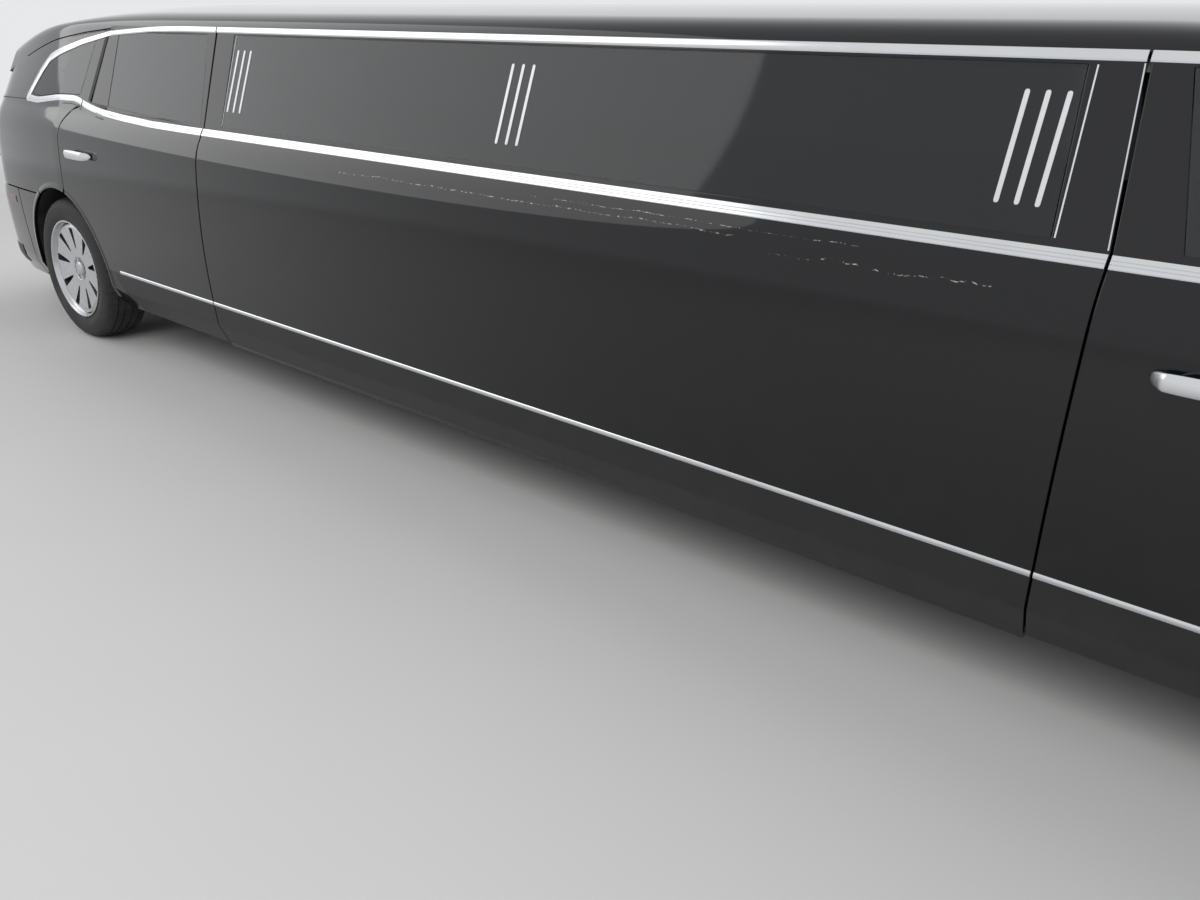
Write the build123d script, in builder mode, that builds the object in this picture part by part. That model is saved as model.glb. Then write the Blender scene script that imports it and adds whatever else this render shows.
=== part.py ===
from build123d import *
import math
import os

os.makedirs("parts", exist_ok=True)

# Driving dimensions, in millimetres. +X is forward, +Y is the left side, +Z is up.
# The origin is on the ground, below the middle of the overall length.
base_wheelbase = 2995
stretch = 3556
front_overhang = 1010
rear_overhang = 1270
wheelbase = base_wheelbase + stretch
overall_length = front_overhang + wheelbase + rear_overhang
nose_x = overall_length / 2
tail_x = -overall_length / 2
front_axle = nose_x - front_overhang
rear_axle = tail_x + rear_overhang

# Shut lines, measured from the rear axle and from each other
rear_door_front = 1420
front_door_length = 1085
rear_door_end = 108
rear_seam = rear_axle + rear_door_front
front_seam = rear_seam + stretch
hinge_seam = front_seam + front_door_length
pillar_lean = 40
gap = 6
frame_gap = 10
rebate = 28
skin = 12

# Body heights and half widths
body_bottom = 235
door_bottom = 250
cladding_edge_z = 345
sill_z = 445
shoulder_z = 1040
belt_z = 1185
window_bottom = 1202
window_top = 1552
glass_top_z = 1575
door_top = 1578
roof_crown = 1712
bottom_half = 878
cladding_half = 935
sill_half = 945
shoulder_half = 950
ledge_half = 907
belt_half = 893
glass_top_half = 757
roof_edge_half = 674
roof_edge_z = 1647
side_bulge = 15
roof_seam = door_top + gap

# Walls
door_wall = 83
greenhouse_wall = 41
roof_wall = 46
panel_wall = 30
glass_thickness = 6
glass_recess = 4
inner_half = sill_half - door_wall

# Wheels
track_half = 828.5
tyre_radius = 371
tyre_width = 235
rim_radius = 246
arch_radius = 425
spoke_count = 8
hub_z = tyre_radius

# Steering and floor
kingpin_y = 753
floor_top = 295
floor_thickness = 25
half_span = 1100


def sagitta_point(start, end, rise):
    """The middle point of an arc from start to end that bulges by rise to the right of the way there."""
    across = math.hypot(end[0] - start[0], end[1] - start[1])
    return (
        (start[0] + end[0]) / 2 + rise * (end[1] - start[1]) / across,
        (start[1] + end[1]) / 2 - rise * (end[0] - start[0]) / across,
    )


def mirrored(point):
    return (-point[0], point[1])


def same(point):
    return point


def cabin_outline(low, high, inset):
    """The edges of the body's cross section, with its widths scaled by low under the belt and by high
    above it, and then made narrower by inset on each side."""
    bottom = (bottom_half * low - inset, body_bottom)
    cladding = (cladding_half * low - inset, cladding_edge_z)
    sill = (sill_half * low - inset, sill_z)
    shoulder = (shoulder_half * low - inset, shoulder_z)
    ledge = (ledge_half * low - inset, belt_z - 24)
    belt = (belt_half * low - inset, belt_z)
    glass_top = (glass_top_half * high - inset, glass_top_z)
    edge = (roof_edge_half * high - inset, roof_edge_z - inset)
    for side in (same, mirrored):
        Polyline(side(bottom), side(cladding), side(sill))
        ThreePointArc(side(sill), side(sagitta_point(sill, shoulder, side_bulge)), side(shoulder))
        ThreePointArc(side(shoulder), side(sagitta_point(shoulder, ledge, 8)), side(ledge))
        Polyline(side(ledge), side(belt), side(glass_top))
        ThreePointArc(side(glass_top), side(sagitta_point(glass_top, edge, 14)), side(edge))
    ThreePointArc(edge, (0, roof_crown - inset), mirrored(edge))
    Line(bottom, mirrored(bottom))


def hollow_outline(low, high, inset):
    """The edges of the cross section of the space inside the body, open below, made smaller by inset."""
    foot = (inner_half * low - inset, body_bottom - 60)
    waist = (inner_half * low - inset, belt_z - 70)
    belt = ((belt_half - greenhouse_wall) * low - inset, belt_z)
    top = ((glass_top_half - greenhouse_wall) * high - inset, glass_top_z - 14)
    edge = ((roof_edge_half - 32) * high - inset, roof_edge_z - roof_wall + 4 - inset)
    for side in (same, mirrored):
        Polyline(side(foot), side(waist), side(belt), side(top), side(edge))
    ThreePointArc(edge, (0, roof_crown - roof_wall - inset), mirrored(edge))
    Line(foot, mirrored(foot))


def side_face(points):
    """A flat face in side view with these corners."""
    with BuildSketch(Plane.XZ) as face:
        Polygon(*points, align=None)
    return face.sketch


def block(low, high):
    """A box between two opposite corners."""
    size = [b - a for a, b in zip(low, high)]
    middle = [(a + b) / 2 for a, b in zip(low, high)]
    return Pos(*middle) * Box(*size, mode=Mode.PRIVATE)


def finish(builder, name):
    """Labels a finished piece and writes it."""
    builder.part.label = name
    export_step(builder.part, f"parts/{name}.step")


# The straight part of the cabin, where the section doesn't change
cabin_rear_x = rear_axle + 50
cabin_front_x = hinge_seam + 300
cabin_run = cabin_front_x - cabin_rear_x

with BuildPart() as cabin_outer:
    with BuildSketch(Plane.YZ.offset(cabin_rear_x)):
        with BuildLine():
            cabin_outline(1, 1, 0)
        make_face()
    extrude(amount=cabin_run)

with BuildPart() as cabin_core:
    with BuildSketch(Plane.YZ.offset(cabin_rear_x - 1)):
        with BuildLine():
            cabin_outline(1, 1, skin)
        make_face()
    extrude(amount=cabin_run + 2)

# The windscreen's surface: an arc in plan, swept down along its rake
screen_base_x = nose_x - 1225
screen_base_z = 1150
screen_rake = Vector(-830, 0, 490)
screen_arc_radius = 2400
screen_half = 1000
screen_drop = screen_arc_radius - math.sqrt(screen_arc_radius**2 - screen_half**2)


def plan_curve(middle, drop, half, far):
    """Edges of a region seen from above, between an arc that has its middle at x = middle and its ends
    drop behind it, and the line x = far."""
    ThreePointArc((middle - drop, -half), (middle, 0), (middle - drop, half))
    Polyline((middle - drop, half), (far, half), (far, -half), (middle - drop, -half))


def screen_cutter(setback):
    """Everything ahead of the windscreen's surface moved back by setback."""
    with BuildPart() as cutter:
        with BuildSketch(Plane.XY.offset(screen_base_z - 100)):
            with BuildLine():
                shift = -100 * screen_rake.X / screen_rake.Z
                plan_curve(screen_base_x - setback + shift, screen_drop, screen_half, nose_x + 600)
            make_face()
        extrude(amount=screen_rake.length * 1.5, dir=screen_rake)
    return cutter.part


ahead_of_screen = screen_cutter(0)

# The roof falls away along a large arc at the front and at the back, with its crown across kept
crown_radius = roof_edge_half**2 / (2 * (roof_crown - roof_edge_z))
front_fall_start = front_seam - 120
front_fall_radius = 3407
rear_fall_start = rear_axle + 1000
rear_fall_radius = 11761
# The added roof panel stands this much above the front and rear roof, at its two seams
roof_step = 1


def roof_cutter(start, radius, reach):
    """Everything above a crowned roof that falls away from x = start along an arc, towards reach."""
    direction = math.copysign(1, reach)
    top = roof_crown - roof_step
    edge_drop = crown_radius - math.sqrt(crown_radius**2 - half_span**2)
    angle = math.degrees(math.asin(abs(reach) / radius)) + 4
    with BuildPart() as cutter:
        ends = sorted((start, start + reach))
        add(block((ends[0], -half_span, 1250), (ends[1], half_span, 1800)))
        with BuildSketch(Plane.YZ.offset(start), mode=Mode.PRIVATE) as profile:
            with BuildLine():
                left = (half_span, top - edge_drop)
                right = mirrored(left)
                ThreePointArc(right, (0, top), left)
                Polyline(left, (half_span, 1000), (-half_span, 1000), right)
            make_face()
        revolve(
            profile.sketch,
            axis=Axis((start, 0, top - radius), (0, direction, 0)),
            revolution_arc=angle,
            mode=Mode.SUBTRACT,
        )
    return cutter.part


above_front_roof = roof_cutter(front_fall_start, front_fall_radius, 900)
above_rear_roof = roof_cutter(rear_fall_start, rear_fall_radius, -2300)

# The ceiling is stepped down by ceiling_step where the roof starts to fall
ceiling_step = 3
seat_gap = 0.3
ceiling_drop = Location((0, 0, -roof_wall - ceiling_step))
under_ceiling = Location((0, 0, -roof_wall - ceiling_step - seat_gap))

with BuildPart() as cabin_hollow:
    with BuildSketch(Plane.YZ.offset(cabin_rear_x - 1)):
        with BuildLine():
            hollow_outline(1, 1, 0)
        make_face()
    extrude(amount=cabin_run + 2)
    add(above_front_roof.moved(ceiling_drop), mode=Mode.SUBTRACT)
    add(above_rear_roof.moved(ceiling_drop), mode=Mode.SUBTRACT)

with BuildPart() as cabin_shell:
    add(cabin_outer.part)
    add(cabin_hollow.part, mode=Mode.SUBTRACT)
    add(ahead_of_screen, mode=Mode.SUBTRACT)
    add(above_front_roof, mode=Mode.SUBTRACT)
    add(above_rear_roof, mode=Mode.SUBTRACT)


def seam_x(seam, z):
    """Where a shut line that leans back above the belt stands at height z."""
    return seam - pillar_lean * max(0, z - belt_z) / (glass_top_z - belt_z)


# Front doors. The outline stands back from its shut lines by clear, and by frame_clear above the belt.
a_pillar_top = (front_seam + 432, 1563)
a_pillar_foot = (hinge_seam - 58, 1192)
a_pillar_bend = 82
a_pillar_base_z = belt_z - 35


def front_door_points(clear, frame_clear, low, high):
    return [
        (front_seam + clear, low),
        (front_seam + clear, belt_z),
        (seam_x(front_seam, high) + frame_clear, high),
        (a_pillar_top[0] - a_pillar_bend - clear, high),
        (a_pillar_top[0] - clear, a_pillar_top[1] - clear),
        (a_pillar_foot[0] - clear, a_pillar_foot[1] - clear),
        (hinge_seam - clear, a_pillar_base_z - clear),
        (hinge_seam - clear, low),
    ]


front_window = [
    (front_seam + 131, window_bottom),
    (front_seam + 46, window_top),
    (a_pillar_top[0] - 50, window_top),
    (a_pillar_top[0] + 30, window_top - 32),
    (a_pillar_foot[0] - 66, window_bottom),
]

# Rear doors, whose lower rear corner is part of the wheel arch
c_pillar_top = rear_axle + 446
c_pillar_foot = rear_axle + 378
kick_high_z = belt_z + 50
kick_middle = (rear_axle + 190, belt_z + 5)
kick_low = (rear_axle + rear_door_end + 10, belt_z - 67)


def rear_door_points(clear, frame_clear, low, high):
    return [
        (rear_seam - clear, low),
        (rear_seam - clear, belt_z),
        (seam_x(rear_seam, high) - frame_clear, high),
        (c_pillar_top + frame_clear, high),
        (c_pillar_foot + frame_clear, kick_high_z - clear),
        (kick_middle[0] + clear, kick_middle[1] - clear),
        (kick_low[0] + clear, kick_low[1] - clear),
        (rear_axle + rear_door_end + clear, 850),
        (rear_axle + rear_door_end + clear, hub_z),
        (rear_axle + 480, low),
    ]


rear_window = [
    (rear_seam - 32, window_bottom),
    (seam_x(rear_seam, window_top) - 68, window_top),
    (rear_axle + 539, window_top),
    (rear_axle + 553, window_bottom),
]

door_specs = [
    # name, outline, window
    ("front_door", front_door_points, front_window),
    ("rear_door", rear_door_points, rear_window),
]
left_half = block((tail_x - 100, 0, 0), (nose_x + 100, half_span, 1900))

for name, outline, window in door_specs:
    with BuildPart() as rebate_cutter:
        add(cabin_core.part)
        core_face = side_face(outline(rebate, rebate, door_bottom + rebate, door_top))
        extrude(core_face, amount=half_span, both=True, mode=Mode.SUBTRACT)
    with BuildPart() as door:
        add(cabin_shell.part)
        add(left_half, mode=Mode.INTERSECT)
        door_face = side_face(outline(gap / 2, frame_gap / 2, door_bottom, door_top))
        extrude(door_face, amount=half_span, both=True, mode=Mode.INTERSECT)
        extrude(side_face(window), amount=half_span, both=True, mode=Mode.SUBTRACT)
        add(rebate_cutter.part, mode=Mode.SUBTRACT)
        with BuildSketch(Plane.XZ):
            with Locations((rear_axle, hub_z)):
                Circle(arch_radius)
        extrude(amount=half_span, both=True, mode=Mode.SUBTRACT)
    finish(door, f"{name}_left")
    with BuildPart() as right_door:
        mirror(door.part, about=Plane.XZ)
    finish(right_door, f"{name}_right")

# Hinge leaves reach from the body to the inner front edge of each door, inside its skin
hinge_heights = (560, 960)
leaf_height = 70
leaf_inner = 872
leaf_outer = 915


def door_hinge_leaves(seam):
    """The leaves on both sides for doors whose front shut line is at x = seam."""
    leaves = []
    for middle_z in hinge_heights:
        low = (seam - rebate + seat_gap, leaf_inner, middle_z - leaf_height / 2)
        high = (seam + gap / 2 + 2, leaf_outer, middle_z + leaf_height / 2)
        leaf = block(low, high)
        leaves += [leaf, leaf.mirror(Plane.XZ)]
    return leaves


stretch_outline = [
    (rear_seam + gap / 2, body_bottom - 10),
    (rear_seam + gap / 2, belt_z),
    (seam_x(rear_seam, roof_seam) + frame_gap / 2, roof_seam),
    (seam_x(front_seam, roof_seam) - frame_gap / 2, roof_seam),
    (front_seam - gap / 2, belt_z),
    (front_seam - gap / 2, body_bottom - 10),
]
stretch_window = [
    (rear_seam + 128, window_bottom),
    (rear_seam + 100, window_top),
    (front_seam - 154, window_top),
    (front_seam - 126, window_bottom),
]

with BuildPart() as stretch_panels:
    add(cabin_shell.part)
    extrude(side_face(stretch_outline), amount=half_span, both=True, mode=Mode.INTERSECT)
    extrude(side_face(stretch_window), amount=half_span, both=True, mode=Mode.SUBTRACT)
    add(door_hinge_leaves(rear_seam))
finish(stretch_panels, "stretch_panels")

# The nose runs from the front doors' hinge line to the front end.
# Columns: distance ahead of the hinge line, width scale, shoulder height, hood edge half width,
# hood edge height, hood crown height
nose_sections = [
    (0, 1.0, 1040, 893, 1180, 1215),
    (350, 1.0, 1015, 850, 1105, 1150),
    (900, 0.99, 965, 790, 1030, 1090),
    (1520, 0.94, 880, 700, 930, 990),
]
cowl_z = belt_z - 5
nose_arc_depth = 520
nose_arc_half = 960


def nose_outline(low, shoulder, edge_half, edge_z, crown_z):
    """The edges of the nose's cross section."""
    bottom = (bottom_half * low, body_bottom)
    cladding = (cladding_half * low, cladding_edge_z)
    sill = (sill_half * low, sill_z)
    waist = (shoulder_half * low, shoulder)
    edge = (edge_half, edge_z)
    for side in (same, mirrored):
        Polyline(side(bottom), side(cladding), side(sill))
        ThreePointArc(side(sill), side(sagitta_point(sill, waist, side_bulge)), side(waist))
        ThreePointArc(side(waist), side(sagitta_point(waist, edge, 12)), side(edge))
    ThreePointArc(edge, (0, crown_z), mirrored(edge))
    Line(bottom, mirrored(bottom))


def nose_hollow_outline(low, shoulder, edge_half, edge_z, crown_z):
    """The edges of the cross section of the space inside the nose, open below."""
    foot = (inner_half * low, body_bottom - 60)
    waist = (inner_half * low, shoulder - 60)
    edge = (edge_half - 70, edge_z - panel_wall)
    for side in (same, mirrored):
        Polyline(side(foot), side(waist), side(edge))
    ThreePointArc(edge, (0, crown_z - panel_wall), mirrored(edge))
    Line(foot, mirrored(foot))


def end_cutter(middle, depth, half, far, low_z, direction, length):
    """Everything beyond an arc in plan that has its middle at x = middle and its ends depth nearer to
    the car's middle, swept from height low_z along direction."""
    with BuildPart() as cutter:
        with BuildSketch(Plane.XY.offset(low_z)):
            with BuildLine():
                plan_curve(middle, depth, half, far)
            make_face()
        extrude(amount=length, dir=direction)
    return cutter.part


up = Vector(0, 0, 1)
beyond_nose = end_cutter(nose_x, nose_arc_depth, nose_arc_half + 40, nose_x + 500, 0, up, 1500)
front_wall = 75
beyond_bay = beyond_nose.moved(Location((-front_wall, 0, 0)))

with BuildPart() as nose_outer:
    for ahead, low, shoulder, edge_half, edge_z, crown_z in nose_sections:
        with BuildSketch(Plane.YZ.offset(hinge_seam + ahead)):
            with BuildLine():
                nose_outline(low, shoulder, edge_half, edge_z, crown_z)
            make_face()
    loft()
    add(beyond_nose, mode=Mode.SUBTRACT)
    add(block((hinge_seam, -half_span, cowl_z), (nose_x, half_span, 1400)), mode=Mode.SUBTRACT)

with BuildPart() as nose_hollow:
    for ahead, low, shoulder, edge_half, edge_z, crown_z in nose_sections:
        with BuildSketch(Plane.YZ.offset(hinge_seam + ahead)):
            with BuildLine():
                nose_hollow_outline(low, shoulder, edge_half, edge_z, crown_z)
            make_face()
    loft()
    add(beyond_bay, mode=Mode.SUBTRACT)
    add(block((hinge_seam, -half_span, 0), (nose_x, half_span, cowl_z - 20)), mode=Mode.INTERSECT)

with BuildPart() as nose_walls:
    add(nose_outer.part)
    add(nose_hollow.part, mode=Mode.SUBTRACT)

# Hood: seen from above it lies between two arcs
hood_rear = nose_x - 1200
hood_front = nose_x - 125
hood_rear_half = 775
hood_front_half = 690
hood_gap = 8


def hood_face(clear):
    """The hood's outline seen from above, made larger by clear."""
    with BuildSketch(Plane.XY.offset(600)) as face:
        with BuildLine():
            rear = hood_rear - 105 - clear
            front = hood_front - 170 + clear
            wide = hood_rear_half + clear
            slim = hood_front_half + clear
            ThreePointArc((rear, -wide), (hood_rear - clear, 0), (rear, wide))
            Line((rear, wide), (front, slim))
            ThreePointArc((front, slim), (hood_front + clear, 0), (front, -slim))
            Line((front, -slim), (rear, -wide))
        make_face()
    return face.sketch


bumper_seam = front_axle + 465
lamp_low_z = 745
lamp_high_z = 905
lamp_inner = 430
grille_half = 415
grille_low_z = 540
intake_half = 520

fender_outline = [
    (hinge_seam + gap / 2, door_bottom - 12),
    (hinge_seam + gap / 2, belt_z + 40),
    (nose_x, belt_z + 40),
    (nose_x, lamp_high_z),
    (bumper_seam + 115, lamp_high_z),
    (bumper_seam + 55, lamp_low_z),
    (bumper_seam, 600),
    (bumper_seam, door_bottom - 12),
]
lamp_outline = [
    (bumper_seam + 115, lamp_high_z),
    (nose_x, lamp_high_z),
    (nose_x, lamp_low_z),
    (bumper_seam + 55, lamp_low_z),
]

lamp_gap = block((nose_x - 400, -lamp_inner, 500), (nose_x, lamp_inner, 1300))

with BuildPart() as hood:
    add(nose_walls.part)
    extrude(hood_face(0), amount=800, mode=Mode.INTERSECT)
    add(block((hinge_seam, -half_span, 860), (nose_x, half_span, 1400)), mode=Mode.INTERSECT)
finish(hood, "hood")

with BuildPart() as around_hood:
    add(nose_walls.part)
    extrude(hood_face(hood_gap), amount=800, mode=Mode.SUBTRACT)

cowl_half = hood_rear_half - 8
cowl_box = block((hinge_seam, -cowl_half, 900), (hood_rear, cowl_half, 1300))
# Two hinge feet reach forward from the cowl, under the rear corners of the hood
foot_inner = 560
foot_outer = 640
foot_rear_x = hood_rear - 150
foot_front_x = hood_rear - 20
foot_root_x = hood_rear - 90
foot_low_z = 1060
between_feet = block((0, -foot_inner, 0), (nose_x, foot_inner, 1900))

with BuildPart() as hood_feet:
    add(nose_hollow.part.moved(Location((0, 0, -seat_gap))))
    add(block((foot_rear_x, -foot_outer, foot_low_z), (foot_front_x, foot_outer, 1300)), mode=Mode.INTERSECT)
    add(between_feet, mode=Mode.SUBTRACT)

with BuildPart() as foot_roots:
    add(nose_outer.part)
    add(block((foot_rear_x, -foot_outer, foot_low_z), (foot_root_x, foot_outer, 1300)), mode=Mode.INTERSECT)
    add(between_feet, mode=Mode.SUBTRACT)

with BuildPart() as cowl:
    add(around_hood.part)
    add(cowl_box, mode=Mode.INTERSECT)
    add(block((0, -half_span, 0), (hinge_seam + gap / 2, half_span, 1900)), mode=Mode.SUBTRACT)
    add(hood_feet.part)
    add(foot_roots.part)
finish(cowl, "cowl")

with BuildPart() as outer_nose:
    add(around_hood.part)
    add(cowl_box, mode=Mode.SUBTRACT)
    with BuildSketch(Plane.XZ):
        with Locations((front_axle, hub_z)):
            Circle(arch_radius)
    extrude(amount=half_span, both=True, mode=Mode.SUBTRACT)

with BuildPart() as front_fenders:
    add(outer_nose.part)
    extrude(side_face(fender_outline), amount=half_span, both=True, mode=Mode.INTERSECT)
    add(lamp_gap, mode=Mode.SUBTRACT)
    add(door_hinge_leaves(hinge_seam))
finish(front_fenders, "front_fenders")

with BuildPart() as headlamps:
    add(outer_nose.part)
    extrude(side_face(lamp_outline), amount=half_span, both=True, mode=Mode.INTERSECT)
    add(lamp_gap, mode=Mode.SUBTRACT)
finish(headlamps, "headlamps")

with BuildPart() as front_bumper:
    add(outer_nose.part)
    add(block((bumper_seam, -half_span, 0), (nose_x, half_span, 1300)), mode=Mode.INTERSECT)
    add(front_fenders.part, mode=Mode.SUBTRACT)
    add(headlamps.part, mode=Mode.SUBTRACT)
    grille_box = block((nose_x - 400, -grille_half, grille_low_z), (nose_x, grille_half, lamp_high_z))
    add(grille_box, mode=Mode.SUBTRACT)
    add(block((nose_x - 400, -intake_half, 330), (nose_x, intake_half, 430)), mode=Mode.SUBTRACT)
finish(front_bumper, "front_bumper")

# The tail tapers in plan. Columns: distance behind the rear axle, width scale under the belt, and above
tail_sections = [
    (-50, 1.0, 1.0),
    (330, 0.99, 0.975),
    (800, 0.955, 0.90),
    (1290, 0.86, 0.77),
]
tail_depth = 370
tailgate_x = tail_x + 70
tailgate_shelf_z = 1130
tailgate_rake = Vector(225, 0, 430)
bumper_top_z = 742
tailgate_low_z = 748
tail_wall = 85

below_shelf = end_cutter(tailgate_x, -tail_depth, nose_arc_half, tail_x - 600, 0, up, tailgate_shelf_z)
above_shelf = end_cutter(
    tailgate_x + 35, -tail_depth, nose_arc_half, tail_x - 600, tailgate_shelf_z, tailgate_rake, 900
)
beyond_bumper = end_cutter(tail_x, -tail_depth - 30, nose_arc_half, tail_x - 600, 0, up, bumper_top_z + 100)
inwards = Location((tail_wall, 0, 0))

with BuildPart() as tail_loft:
    for behind, low, high in tail_sections:
        with BuildSketch(Plane.YZ.offset(rear_axle - behind)):
            with BuildLine():
                cabin_outline(low, high, 0)
            make_face()
    loft()

with BuildPart() as tail_outer:
    add(tail_loft.part)
    add(above_rear_roof, mode=Mode.SUBTRACT)
    add(below_shelf, mode=Mode.SUBTRACT)
    add(above_shelf, mode=Mode.SUBTRACT)

with BuildPart() as tail_hollow:
    for behind, low, high in tail_sections:
        with BuildSketch(Plane.YZ.offset(rear_axle - behind)):
            with BuildLine():
                hollow_outline(low, high, 0)
            make_face()
    loft()
    add(above_rear_roof.moved(ceiling_drop), mode=Mode.SUBTRACT)
    add(below_shelf.moved(inwards), mode=Mode.SUBTRACT)
    add(above_shelf.moved(inwards), mode=Mode.SUBTRACT)

with BuildPart() as tail_walls:
    add(tail_outer.part)
    add(tail_hollow.part, mode=Mode.SUBTRACT)

rear_bumper_seam = tail_x + 750
tailgate_front = tail_x + 395
tailgate_half_low = 600
tailgate_half_belt = 650
tailgate_half_top = 575


def tailgate_prism(clear):
    """The tailgate's outline seen from behind, made larger by clear, swept forward to its front edge."""
    with BuildPart() as prism:
        with BuildSketch(Plane.YZ.offset(tail_x - 100)):
            Polygon(
                (-tailgate_half_low - clear, tailgate_low_z - clear),
                (tailgate_half_low + clear, tailgate_low_z - clear),
                (tailgate_half_belt + clear, tailgate_shelf_z),
                (tailgate_half_top + clear, 1620),
                (-tailgate_half_top - clear, 1620),
                (-tailgate_half_belt - clear, tailgate_shelf_z),
                align=None,
            )
        extrude(amount=tailgate_front + clear - tail_x + 100)
    return prism.part


tailgate_window = [
    (-tailgate_half_belt + 70, tailgate_shelf_z + 45),
    (tailgate_half_belt - 70, tailgate_shelf_z + 45),
    (tailgate_half_top - 55, 1470),
    (-tailgate_half_top + 55, 1470),
]

tailgate_gap = 8
with BuildPart() as tailgate_rebate:
    add(tailgate_prism(10))
    add(tailgate_prism(-rebate), mode=Mode.SUBTRACT)
    add(below_shelf.moved(Location((skin, 0, 0))), mode=Mode.SUBTRACT)
    add(above_shelf.moved(Location((skin, 0, 0))), mode=Mode.SUBTRACT)
    add(block((tailgate_front - rebate, -half_span, 0), (nose_x, half_span, 1900)), mode=Mode.SUBTRACT)
    add(block((tail_x - 200, -half_span, 0), (nose_x, half_span, tailgate_low_z + 1)), mode=Mode.SUBTRACT)

with BuildPart() as tailgate:
    add(tail_walls.part)
    add(tailgate_prism(0), mode=Mode.INTERSECT)
    add(tailgate_rebate.part, mode=Mode.SUBTRACT)
    with BuildSketch(Plane.YZ.offset(tail_x - 100)):
        Polygon(*tailgate_window, align=None)
    extrude(amount=800, mode=Mode.SUBTRACT)
finish(tailgate, "tailgate")

with BuildPart() as around_tailgate:
    add(tail_walls.part)
    add(tailgate_prism(tailgate_gap), mode=Mode.SUBTRACT)
    bumper_box = block((tail_x - 100, -half_span, 0), (rear_bumper_seam, half_span, bumper_top_z))
    add(bumper_box, mode=Mode.SUBTRACT)
    with BuildSketch(Plane.XZ):
        with Locations((rear_axle, hub_z)):
            Circle(arch_radius)
    extrude(amount=half_span, both=True, mode=Mode.SUBTRACT)

lamp_front = tail_x + 500
tail_lamp_low = 880
tail_lamp_high = 1090

with BuildPart() as tail_lamps:
    add(around_tailgate.part)
    lamp_box = block((tail_x - 100, -half_span, tail_lamp_low), (lamp_front, half_span, tail_lamp_high))
    add(lamp_box, mode=Mode.INTERSECT)
finish(tail_lamps, "tail_lamps")

quarter_outline = [
    (rear_axle + rear_door_end - gap / 2, body_bottom - 10),
    (rear_axle + rear_door_end - gap / 2, 850),
    (kick_low[0] - gap / 2, kick_low[1] + gap / 2),
    (kick_middle[0] - gap / 2, kick_middle[1] + gap / 2),
    (c_pillar_foot - frame_gap / 2, kick_high_z + gap / 2),
    (c_pillar_top - frame_gap / 2, roof_seam),
    (tail_x - 100, roof_seam),
    (tail_x - 100, body_bottom - 10),
]
quarter_window = [
    (rear_axle + 250, belt_z + 55),
    (rear_axle + 325, window_top - 24),
    (rear_axle + 184, window_top - 46),
    (rear_axle - 30, window_top - 95),
    (rear_axle - 141, window_top - 125),
    (rear_axle - 225, belt_z + 165),
    (rear_axle - 320, belt_z + 48),
    (rear_axle, belt_z + 50),
]

# Where the roof falls below its seam, it meets the quarters along these lines in plan
roof_join_front = (rear_axle + 95, 670)
roof_join_rear = (tailgate_front, 585)
with BuildPart() as rear_roof_zone:
    with BuildSketch(Plane.XY.offset(1300)):
        Polygon(
            roof_join_front,
            roof_join_rear,
            (roof_join_rear[0], -roof_join_rear[1]),
            (roof_join_front[0], -roof_join_front[1]),
            align=None,
        )
    extrude(amount=600)

# Leaves of the tailgate's hinges, on the rear edge of the roof
tailgate_leaf_inner = 300
tailgate_leaf_outer = 360
tailgate_leaf_low = 1518
tailgate_leaf_high = 1542

with BuildPart() as rear_sides:
    add(cabin_shell.part)
    add(block((cabin_rear_x, -half_span, 0), (rear_axle + 600, half_span, 1900)), mode=Mode.INTERSECT)
    add(around_tailgate.part)

with BuildPart() as rear_quarters:
    add(rear_sides.part)
    extrude(side_face(quarter_outline), amount=half_span, both=True, mode=Mode.INTERSECT)
    extrude(side_face(quarter_window), amount=half_span, both=True, mode=Mode.SUBTRACT)
    add(tail_lamps.part, mode=Mode.SUBTRACT)
    add(rear_roof_zone.part, mode=Mode.SUBTRACT)
    with BuildSketch(Plane.XZ):
        with Locations((rear_axle, hub_z)):
            Circle(arch_radius)
    extrude(amount=half_span, both=True, mode=Mode.SUBTRACT)
finish(rear_quarters, "rear_quarters")

with BuildPart() as rear_roof:
    add(rear_sides.part)
    add(rear_roof_zone.part, mode=Mode.INTERSECT)

with BuildPart() as roof:
    add(cabin_shell.part)
    add(block((cabin_rear_x, -half_span, roof_seam), (nose_x, half_span, 1900)), mode=Mode.INTERSECT)
    add(around_tailgate.part)
    add(block((tail_x - 100, -half_span, roof_seam), (nose_x, half_span, 1900)), mode=Mode.INTERSECT)
    add(rear_roof.part)
    for side in (1, -1):
        leaf = block(
            (tailgate_front + seat_gap, tailgate_leaf_inner, tailgate_leaf_low),
            (tailgate_front + tailgate_gap + 2, tailgate_leaf_outer, tailgate_leaf_high),
        )
        add(leaf if side > 0 else leaf.mirror(Plane.XZ))
finish(roof, "roof")

pillar_outline = [
    (a_pillar_top[0] - a_pillar_bend + gap / 2, roof_seam),
    (a_pillar_top[0] + gap / 2, a_pillar_top[1] + gap / 2),
    (a_pillar_foot[0] + gap / 2, a_pillar_foot[1] + gap / 2),
    (hinge_seam + gap / 2, a_pillar_base_z + gap / 2),
    (hinge_seam + gap / 2, cowl_z),
    (hinge_seam + 280, cowl_z),
    (hinge_seam + 280, roof_seam),
]
with BuildPart() as windscreen_pillars:
    add(cabin_shell.part)
    extrude(side_face(pillar_outline), amount=half_span, both=True, mode=Mode.INTERSECT)
finish(windscreen_pillars, "windscreen_pillars")

with BuildPart() as rear_bumper:
    add(tail_loft.part)
    add(tail_hollow.part, mode=Mode.SUBTRACT)
    add(beyond_bumper, mode=Mode.SUBTRACT)
    add(bumper_box, mode=Mode.INTERSECT)
finish(rear_bumper, "rear_bumper")

# Glass: a thin sheet a little inboard of the body's surface, cut to its window less a small clearance

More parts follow.
